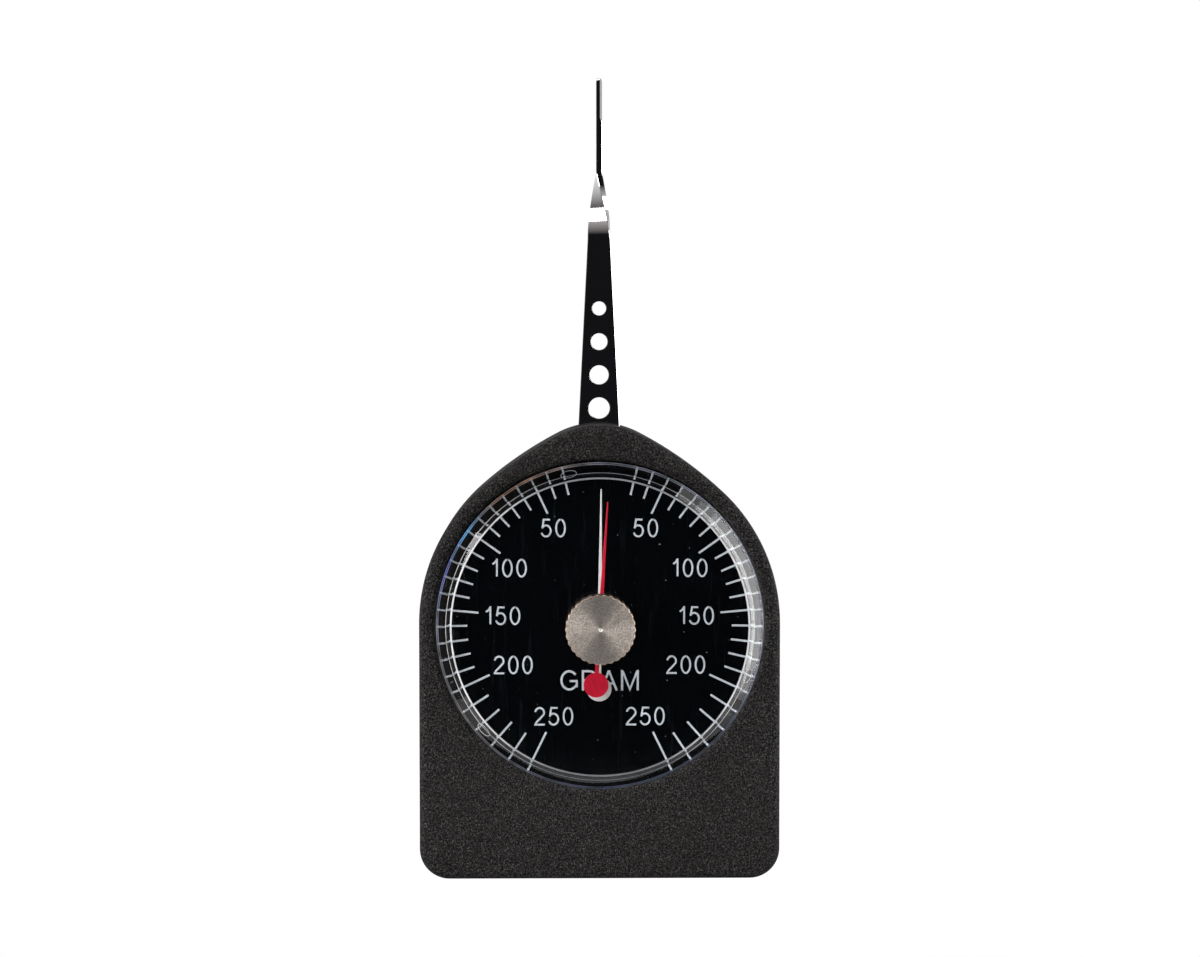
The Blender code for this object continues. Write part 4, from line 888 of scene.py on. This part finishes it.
def write(bm, words, centre, height, stroke, gap, spread=1.0):
    """Letters about a centre on the dial. The height is over the strokes' outer edges."""
    scale = height - stroke
    wide = scale * spread
    glyphs = [glyph_strokes(letter) for letter in words]
    total = sum(width * wide for width, _ in glyphs) + (gap + stroke) * (len(glyphs) - 1)
    x = centre[0] - total / 2
    low = centre[1] - scale / 2
    level = 0
    for width, strokes in glyphs:
        for points in strokes:
            ribbon(bm, [(x + px * wide, low + pz * scale) for px, pz in points], stroke, level % 5)
            level += 1
        x += width * wide + gap + stroke


def make_dial():
    low, high = DIAL_FRONT, DIAL_HIGH.y
    plate_rear = FLOOR_FRONT - GAP
    edge = GAP / 3
    hole = 0.0018
    profile = [(hole, low)]
    profile += fillet((CRYSTAL_RADIUS - edge, low + edge), edge, 0, 90, 4)
    profile += [(CRYSTAL_RADIUS, plate_rear), (hole, plate_rear)]
    bm = bmesh.new()
    add_turned(bm, profile, ROUND_STEPS, 0, DIAL_HEIGHT, ring=True)
    foot_reach = 0.018
    for side in (-1, 1):
        foot = cylinder_profile(0.0008, plate_rear, high)
        add_turned(bm, foot, PIN_STEPS, side * foot_reach, DIAL_HEIGHT)
    dial = new_piece("dial_face", finished_mesh("dial", bm), "case", DIAL_BLACK)
    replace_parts(dial, "dial_plate")


def make_dial_marks():
    bm = bmesh.new()
    for value in range(FIRST_MARK, LAST_MARK + 1, MARK_STEP):
        angle = scale_angle(value)
        inner = MINOR_INNER_REACH if value % MAJOR_STEP else MAJOR_INNER_REACH
        for side in (-1, 1):
            direction = (side * math.sin(angle), math.cos(angle))
            ends = [(direction[0] * reach, direction[1] * reach) for reach in (inner, MARK_OUTER_REACH)]
            ribbon(bm, ends, MARK_WIDTH, 0)
    marks = new_piece("dial_scale", finished_mesh("marks", bm), "case", DIAL_PRINT)
    bm = bmesh.new()
    for value, (x, z) in NUMERAL_PLACES.items():
        for side in (-1, 1):
            write(bm, str(value), (side * x, z), DIGIT_HEIGHT, DIGIT_STROKE, DIGIT_GAP)
    write(bm, "GRAM", (0, -UNIT_DROP), UNIT_HEIGHT, UNIT_STROKE, UNIT_GAP, UNIT_SPREAD)
    numerals = new_piece("dial_numerals", finished_mesh("numerals", bm), "case", DIAL_PRINT)
    return marks, numerals


def make_crystal():
    """Clear cup with a flat window, a bevelled rim and an upright wall."""
    edge = WINDOW_EDGE_RADIUS
    window = CRYSTAL_RADIUS - CRYSTAL_SHOULDER
    shoulder_front = CASE_FRONT - CRYSTAL_EDGE_RISE
    slope_deg = math.degrees(math.atan2(shoulder_front - WINDOW_FRONT, CRYSTAL_SHOULDER))
    turn_in = edge * math.tan(math.radians(slope_deg / 2))
    turn_out = edge * math.tan(math.radians(45 - slope_deg / 2))
    inner = CRYSTAL_RADIUS - CRYSTAL_WALL
    chamfer = CRYSTAL_SHOULDER / 4
    rear = WINDOW_FRONT + WINDOW_THICKNESS
    profile = [(BUSH_HOLE_RADIUS, WINDOW_FRONT)]
    profile += fillet((window - turn_in, WINDOW_FRONT + edge), edge, 0, slope_deg)
    profile += fillet((CRYSTAL_RADIUS - edge, shoulder_front + turn_out), edge, slope_deg, 90)
    profile += [(CRYSTAL_RADIUS, SKIRT_END), (inner, SKIRT_END)]
    profile += [(inner, rear + chamfer), (inner - chamfer, rear), (BUSH_HOLE_RADIUS, rear)]
    bm = bmesh.new()
    add_turned(bm, profile, ROUND_STEPS, 0, DIAL_HEIGHT, ring=True)
    mesh = cut_mesh(finished_mesh("cup", bm), [], [lug_mesh(0, SKIRT_END - LUG_HEIGHT, SKIRT_END - GAP / 2)])
    crystal = new_piece("crystal_cup", mesh, "case", ACRYLIC)
    crystal.visible_shadow = False
    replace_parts(crystal, "crystal")


def bevel_front(reach):
    """World Y of the crystal's bevel at a distance from its axis."""
    share = (reach - CRYSTAL_RADIUS + CRYSTAL_SHOULDER) / CRYSTAL_SHOULDER
    return WINDOW_FRONT + (CASE_FRONT - CRYSTAL_EDGE_RISE - WINDOW_FRONT) * share


def add_band(bm, reach, y, width, slope_deg):
    """Thin flat ring that lies on the crystal, tilted by the slope."""
    slope = math.radians(slope_deg)
    along = Vector((math.cos(slope), math.sin(slope))) * width / 2
    out = Vector((math.sin(slope), -math.cos(slope))) * LINE_LIFT
    middle = Vector((reach, y))
    corners = (middle - along, middle + along, middle + along + out, middle - along + out)
    add_turned(bm, [tuple(corner) for corner in corners], ROUND_STEPS, 0, DIAL_HEIGHT, ring=True)


def add_lug_line(bm, angle_deg):
    """Fine oval line round a lug, painted bright where the lug shows through the bevel."""
    middle = CRYSTAL_RADIUS - CRYSTAL_SHOULDER * LUG_LINE_SHARE
    rings = []
    for i in range(LUG_LINE_STEPS):
        turn = math.tau * i / LUG_LINE_STEPS
        angle = math.radians(angle_deg) + LUG_LINE_SPAN / 2 * math.sin(turn) / middle
        reach = middle + LUG_LINE_HEIGHT / 2 * math.cos(turn)
        outward = Vector((math.sin(angle), 0, math.cos(angle)))
        centre = outward * reach + Vector((0, bevel_front(reach) - LINE_LIFT, DIAL_HEIGHT))
        across = outward * math.cos(turn) + Vector((math.cos(angle), 0, -math.sin(angle))) * math.sin(turn)
        forward = Vector((0, -1, 0))
        corners = (across, forward, -across, -forward)
        rings.append([bm.verts.new(centre + corner * LUG_LINE_HALF) for corner in corners])
    for near, far in zip(rings, rings[1:] + rings[:1]):
        for i in range(4):
            j = (i + 1) % 4
            bm.faces.new((near[i], near[j], far[j], far[i]))


def make_crystal_lines():
    """Painted light on the crystal: the bright edge of the window, a narrow inner band, coloured glint lines
    of the rim and bright outlines of the lugs.
    """
    window = CRYSTAL_RADIUS - CRYSTAL_SHOULDER
    slope_deg = math.degrees(math.atan2(CASE_FRONT - CRYSTAL_EDGE_RISE - WINDOW_FRONT, CRYSTAL_SHOULDER))
    bm = bmesh.new()
    # Painted highlight at the window's edge and a narrow band on the bevel.
    add_band(bm, window, WINDOW_FRONT + WINDOW_EDGE_RADIUS / 8, EDGE_LINE_WIDTH, slope_deg / 2)
    inner = window + CRYSTAL_SHOULDER * INNER_LINE_SHARE
    add_band(bm, inner, bevel_front(inner), EDGE_LINE_WIDTH / 4, slope_deg)
    for angle_deg in LUG_ANGLES_DEG:
        add_lug_line(bm, angle_deg)
    new_piece("crystal_edge_line", finished_mesh("edge", bm), "case", EDGE_SHINE)
    # Rim lines that carry the painted coloured glints.
    bm = bmesh.new()
    for share in RIM_LINE_SHARES:
        reach = window + CRYSTAL_SHOULDER * share
        add_band(bm, reach, bevel_front(reach), RIM_LINE_WIDTH, slope_deg)
    new_piece("crystal_rim_lines", finished_mesh("rim", bm), "case", RIM_SHINE)


def knurled_outline(radius, depth_share):
    """Round outline with shallow scallops between sharp crests."""
    points = []
    count = KNOB_KNURLS * KNURL_STEPS
    for i in range(count):
        angle = math.tau * i / count
        swell = abs(math.sin(KNOB_KNURLS * angle / 2))
        reach = radius - KNURL_DEPTH * depth_share * (1 - swell)
        points.append((reach * math.sin(angle), DIAL_HEIGHT + reach * math.cos(angle)))
    return points


def make_knob():
    front, rear = KNOB_LOW.y, KNOB_HIGH.y
    radius = (KNOB_HIGH.x - KNOB_LOW.x) / 2
    chamfer = KNOB_FACE_CHAMFER
    count = KNOB_KNURLS * KNURL_STEPS
    bm = bmesh.new()
    rings = [flat_ring(circle(KNOB_PIP_RADIUS / 4, 0, DIAL_HEIGHT, count), front + KNOB_PIP_DEPTH)]
    rings += turned_rings([(KNOB_PIP_RADIUS, front), (radius * 0.6, front)], count, 0, DIAL_HEIGHT)
    rings.append(flat_ring(circle(radius - KNURL_DEPTH - chamfer, 0, DIAL_HEIGHT, count), front))
    rings.append(flat_ring(knurled_outline(radius - chamfer, 1), front))
    rings.append(flat_ring(knurled_outline(radius, 1), front + chamfer))
    rings.append(flat_ring(knurled_outline(radius, 1), rear - chamfer))
    rings.append(flat_ring(circle(radius - KNURL_DEPTH - chamfer, 0, DIAL_HEIGHT, count), rear))
    loft(bm, rings)
    bore = bmesh.new()
    bore_radius = (SPINDLE_HIGH.x - SPINDLE_LOW.x) / 2 + FIT
    profile = cylinder_profile(bore_radius, SPINDLE_LOW.y - FIT, rear + OVERRUN)
    add_turned(bore, profile, PIN_STEPS, 0, DIAL_HEIGHT)
    mesh = cut_mesh(finished_mesh("knob", bm, 50), [finished_mesh("bore", bore)])
    knob = new_piece("knob_face", mesh, "drag", NICKEL)
    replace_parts(knob, "reset_knob")


def pointer_outline(tip_reach, disc_reach, inset):
    """Flat pointer, drawn in by the inset: needle, ring round the axis, tail and counterweight."""
    half = POINTER_HALF_WIDTH - inset
    tip = POINTER_TIP_HALF_WIDTH - inset
    ring = POINTER_RING_RADIUS - inset
    disc = POINTER_DISC_RADIUS - inset
    ring_angle = math.asin(half / ring)
    disc_angle = math.asin(half / disc)
    right = [(tip, tip_reach - inset), (half, tip_reach / 4)]
    right += arc(ring, (0, 0), ring_angle, math.pi - ring_angle, 16)
    right += arc(disc, (0, -disc_reach), disc_angle, math.pi, 28)
    left = [(-x, z) for x, z in right[-2::-1]]
    return right + left


def make_pointer(name, node, body, finish, slot_name, sizes, front, rear):
    tip_reach, disc_reach, hole, turn_deg = sizes
    bm = bmesh.new()
    near = pointer_outline(tip_reach, disc_reach, POINTER_EDGE)
    wide = pointer_outline(tip_reach, disc_reach, 0)
    rings = [flat_ring(near, front), flat_ring(wide, front + POINTER_EDGE)]
    rings += [flat_ring(wide, rear - POINTER_EDGE), flat_ring(near, rear)]
    loft(bm, rings)
    bore = bmesh.new()
    add_turned(bore, cylinder_profile(hole, front - OVERRUN, rear + OVERRUN))
    mesh = cut_mesh(finished_mesh("pointer", bm), [finished_mesh("bore", bore)])
    mesh.transform(Matrix.Rotation(math.radians(turn_deg), 4, "Y"))
    mesh.transform(Matrix.Translation((0, 0, DIAL_HEIGHT)))
    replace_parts(new_piece(name, mesh, body, finish), node)


def make_pointers():
    sizes = (POINTER_TIP_REACH, POINTER_DISC_REACH, POINTER_HOLE_RADIUS, POINTER_REST_DEG)
    ends = (POINTER_LOW.y, POINTER_HIGH.y)
    make_pointer("pointer_needle", "main_pointer", "pointer", WHITE, "white_paint", sizes, *ends)
    sizes = (DRAG_TIP_REACH, DRAG_DISC_REACH, DRAG_HOLE_RADIUS, DRAG_REST_DEG)
    ends = (DRAG_LOW.y, DRAG_HIGH.y)
    make_pointer("drag_needle", "drag_pointer", "drag", RED, "red_paint", sizes, *ends)


LEVER_BASE = CROWN_TOP - PIVOT_HEIGHT
LEVER_TOP = LEVER_HIGH.z - PIVOT_HEIGHT
LEVER_TAIL = PIVOT_HEIGHT - LEVER_LOW.z


def lever_half_width(height):
    """Half the width of the lever's taper at a height above its shaft."""
    share = (height - LEVER_BASE) / (LEVER_TOP - LEVER_BASE)
    return (LEVER_BASE_WIDTH + (LEVER_TIP_WIDTH - LEVER_BASE_WIDTH) * share) / 2


def lever_section(height, half_width, turn, ground=LEVER_EDGE, inset=0.0):
    """Section of the strip with broken edges, turned about its own middle line."""
    half_thickness = LEVER_HALF_THICKNESS - inset
    half_width -= inset
    # Corners in turn: rear left, front left, front right and rear right before the twist
    corners = ((-1, 1, ground), (-1, -1, LEVER_EDGE), (1, -1, ground), (1, 1, LEVER_EDGE))
    if ground > LEVER_EDGE:
        corners = ((-1, 1, LEVER_EDGE), (-1, -1, LEVER_EDGE), (1, -1, LEVER_EDGE), (1, 1, ground))
    points = []
    for x, y, edge in corners:
        slope = GROUND_SLOPE if edge > LEVER_EDGE else 1
        along = min(edge * slope, half_width * 0.9)
        through = min(edge, half_thickness * 0.9)
        first = (x * half_width, y * (half_thickness - through))
        second = (x * (half_width - along), y * half_thickness)
        points += [second, first] if x * y < 0 else [first, second]
    rotation = Matrix.Rotation(-turn, 3, "Z")
    middle = (LEVER_LOW.y + LEVER_HIGH.y) / 2
    ring = []
    for x, y in points:
        point = rotation @ Vector((x, y, 0))
        ring.append((point.x, point.y + middle, height + PIVOT_HEIGHT))
    return ring


def make_lever():
    start = LEVER_BASE + TWIST_START
    end = LEVER_BASE + TWIST_END
    bevel = LEVER_TAIL_WIDTH / 4
    rings = [
        lever_section(-LEVER_TAIL, LEVER_TAIL_WIDTH / 2 - bevel, 0),
        lever_section(-LEVER_TAIL + bevel, LEVER_TAIL_WIDTH / 2, 0),
        lever_section(0, LEVER_BASE_WIDTH / 2, 0),
        lever_section(LEVER_BASE, LEVER_BASE_WIDTH / 2, 0),
    ]
    for i in range(TWIST_STEPS + 1):
        share = i / TWIST_STEPS
        height = start + (end - start) * share
        rings.append(lever_section(height, lever_half_width(height), math.pi / 2 * share))
    tip_half = lever_half_width(LEVER_TOP)
    ground_start = LEVER_TOP - GROUND_LENGTH
    quarter = math.pi / 2
    rings.append(lever_section(ground_start - GAP, lever_half_width(ground_start), quarter))
    rings.append(lever_section(ground_start + GAP, lever_half_width(ground_start), quarter, GROUND_EDGE))
    rings.append(lever_section(LEVER_TOP - GAP * 2, tip_half, quarter, GROUND_EDGE))
    rings.append(lever_section(LEVER_TOP - GAP / 2, tip_half, quarter, GROUND_EDGE, GAP / 3))
    rings.append(lever_section(LEVER_TOP, tip_half, quarter, GROUND_EDGE, GAP / 1.2))
    bm = bmesh.new()
    loft(bm, rings)
    holes = bmesh.new()
    front = (LEVER_LOW.y + LEVER_HIGH.y) / 2 - LEVER_HALF_THICKNESS
    rear = front + 2 * LEVER_HALF_THICKNESS
    chamfer = HOLE_CHAMFER
    places = [
        (radius, PIVOT_HEIGHT + LEVER_BASE + FIRST_HOLE_RISE + HOLE_PITCH * i)
        for i, radius in enumerate(HOLE_RADII)
    ]
    places.append((SHAFT_HOLE_RADIUS, PIVOT_HEIGHT))
    places += [(RIVET_HOLE_RADIUS, PIVOT_HEIGHT - reach) for reach in RIVET_REACHES]
    for radius, z in places:
        profile = [
            (0, front - OVERRUN),
            (radius + chamfer + OVERRUN, front - OVERRUN),
            (radius, front + chamfer),
            (radius, rear - chamfer),
            (radius + chamfer + OVERRUN, rear + OVERRUN),
            (0, rear + OVERRUN),
        ]
        add_turned(holes, profile, PIN_STEPS, 0, z)
    mesh = cut_mesh(finished_mesh("lever", bm), [finished_mesh("holes", holes)])
    lever = new_piece("lever_blade", mesh, "lever", STEEL)
    level_shading(lever)
    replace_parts(lever, "feeler_lever")


def stage_material(name, colour, lit_share):
    """White for the camera, yet dimmed where the gauge shades it."""
    made = bpy.data.materials.new(name)
    made.use_nodes = True
    tree = made.node_tree
    tree.nodes.clear()
    output = add_node(tree, "OutputMaterial")
    path = add_node(tree, "LightPath")
    plain = add_node(tree, "BsdfDiffuse")
    plain.inputs["Color"].default_value = (*colour, 1.0)
    glow = add_node(tree, "Emission", Strength=FLOOR_GLOW)
    share = add_node(tree, "MixShader")
    share.inputs["Fac"].default_value = lit_share
    tree.links.new(plain.outputs[0], share.inputs[2])
    white = add_node(tree, "AddShader")
    tree.links.new(glow.outputs[0], white.inputs[0])
    tree.links.new(share.outputs[0], white.inputs[1])
    pick = add_node(tree, "MixShader")
    tree.links.new(path.outputs["Is Camera Ray"], pick.inputs["Fac"])
    tree.links.new(plain.outputs[0], pick.inputs[1])
    tree.links.new(white.outputs[0], pick.inputs[2])
    tree.links.new(pick.outputs[0], output.inputs["Surface"])
    return made


def make_floor():
    bm = bmesh.new()
    side, front, rear = FLOOR_SIDE_REACH, -FLOOR_FRONT_REACH, FLOOR_REACH
    places = [(-side, front), (side, front), (side, rear), (-side, rear)]
    corners = [bm.verts.new((x, y, 0)) for x, y in places]
    bm.faces.new(corners)
    mesh = bpy.data.meshes.new("floor")
    bm.to_mesh(mesh)
    bm.free()
    floor = bpy.data.objects.new("floor", mesh)
    bpy.context.scene.collection.objects.link(floor)
    mesh.materials.append(stage_material("floor_white", (0.8, 0.8, 0.8), 0.2))


def make_world():
    """A room that is white behind the gauge and to its right, dark elsewhere, and white to the camera."""
    world = bpy.data.worlds.new("room")
    bpy.context.scene.world = world
    world.use_nodes = True
    tree = world.node_tree
    tree.nodes.clear()
    output = add_node(tree, "OutputWorld")
    path = add_node(tree, "LightPath")
    split = add_node(tree, "SeparateXYZ")
    tree.links.new(add_node(tree, "TexCoord").outputs["Generated"], split.inputs["Vector"])
    right = remap(tree, split.outputs["X"], 0.6, 0.95, 0.0, 0.7)
    behind = remap(tree, split.outputs["Y"], -0.1, 0.95)
    light = add_node(tree, "Math", operation="MAXIMUM")
    tree.links.new(right, light.inputs[0])
    tree.links.new(behind, light.inputs[1])
    left = remap(tree, split.outputs["X"], -0.25, -0.8)
    wall = mixed(tree, remap(tree, split.outputs["Y"], -0.55, -0.05), (0.5, 0.47, 0.45), (0.07, 0.055, 0.05))
    room = mixed(tree, left, (0.008, 0.008, 0.009), wall)
    room = mixed(tree, light.outputs[0], room, (0.85, 0.85, 0.85))
    dim = add_node(tree, "Background", Strength=1.0)
    tree.links.new(room, dim.inputs["Color"])
    white = add_node(tree, "Background", Strength=1.0)
    white.inputs["Color"].default_value = (1.0, 1.0, 1.0, 1.0)
    pick = add_node(tree, "MixShader")
    tree.links.new(path.outputs["Is Camera Ray"], pick.inputs["Fac"])
    tree.links.new(dim.outputs[0], pick.inputs[1])
    tree.links.new(white.outputs[0], pick.inputs[2])
    tree.links.new(pick.outputs[0], output.inputs["Surface"])


def add_panel(name, place, size, power, colour=(1.0, 1.0, 1.0)):
    """A soft box that faces the dial."""
    light = bpy.data.lights.new(name, "AREA")
    light.shape = "RECTANGLE"
    light.size, light.size_y = size
    light.energy = power
    light.color = colour
    panel = bpy.data.objects.new(name, light)
    panel.location = place
    target = Vector((0, 0, DIAL_HEIGHT))
    panel.rotation_euler = (target - Vector(place)).to_track_quat("-Z", "Y").to_euler()
    bpy.context.scene.collection.objects.link(panel)


def make_lights():
    add_panel("left_panel", (-0.46, -0.2, 0.12), (0.3, 0.5), 3.1)
    add_panel("right_panel", (0.49, -0.06, 0.12), (0.28, 0.6), 1.0)
    add_panel("right_panel_mid", (0.5, -0.06, 0.12), (0.3, 0.8), 1.2)
    add_panel("right_panel_tall", (0.51, -0.06, 0.12), (0.32, 1.1), 1.5)
    add_panel("top_panel", (0.0, -0.3, 0.62), (0.4, 0.2), 1.7)


def make_camera():
    """Camera that shows the gauge at the photograph's scale and place."""
    azimuth = math.radians(VIEW_AZIMUTH_DEG)
    elevation = math.radians(VIEW_ELEVATION_DEG)
    toward = Vector(
        (
            math.sin(azimuth) * math.cos(elevation),
            -math.cos(azimuth) * math.cos(elevation),
            math.sin(elevation),
        )
    )
    data = bpy.data.cameras.new("camera")
    data.sensor_width = SENSOR_WIDTH * 1000
    front_distance = VIEW_DISTANCE + CASE_FRONT
    data.lens = data.sensor_width * front_distance / (PHOTO_WIDTH / PHOTO_SCALE)
    data.clip_start = 0.01
    camera = bpy.data.objects.new("camera", data)
    camera.location = PHOTO_CENTRE + toward * VIEW_DISTANCE
    camera.rotation_euler = toward.to_track_quat("Z", "Y").to_euler()
    bpy.context.scene.collection.objects.link(camera)
    bpy.context.scene.camera = camera


dress_kept_nodes()
make_case()
make_rear_cover()
make_cover_screws()
make_dial()
make_dial_marks()
make_crystal()
make_crystal_lines()
make_knob()
make_pointers()
make_lever()
make_floor()
make_world()
make_lights()
make_camera()
bpy.context.scene.view_settings.view_transform = "Standard"
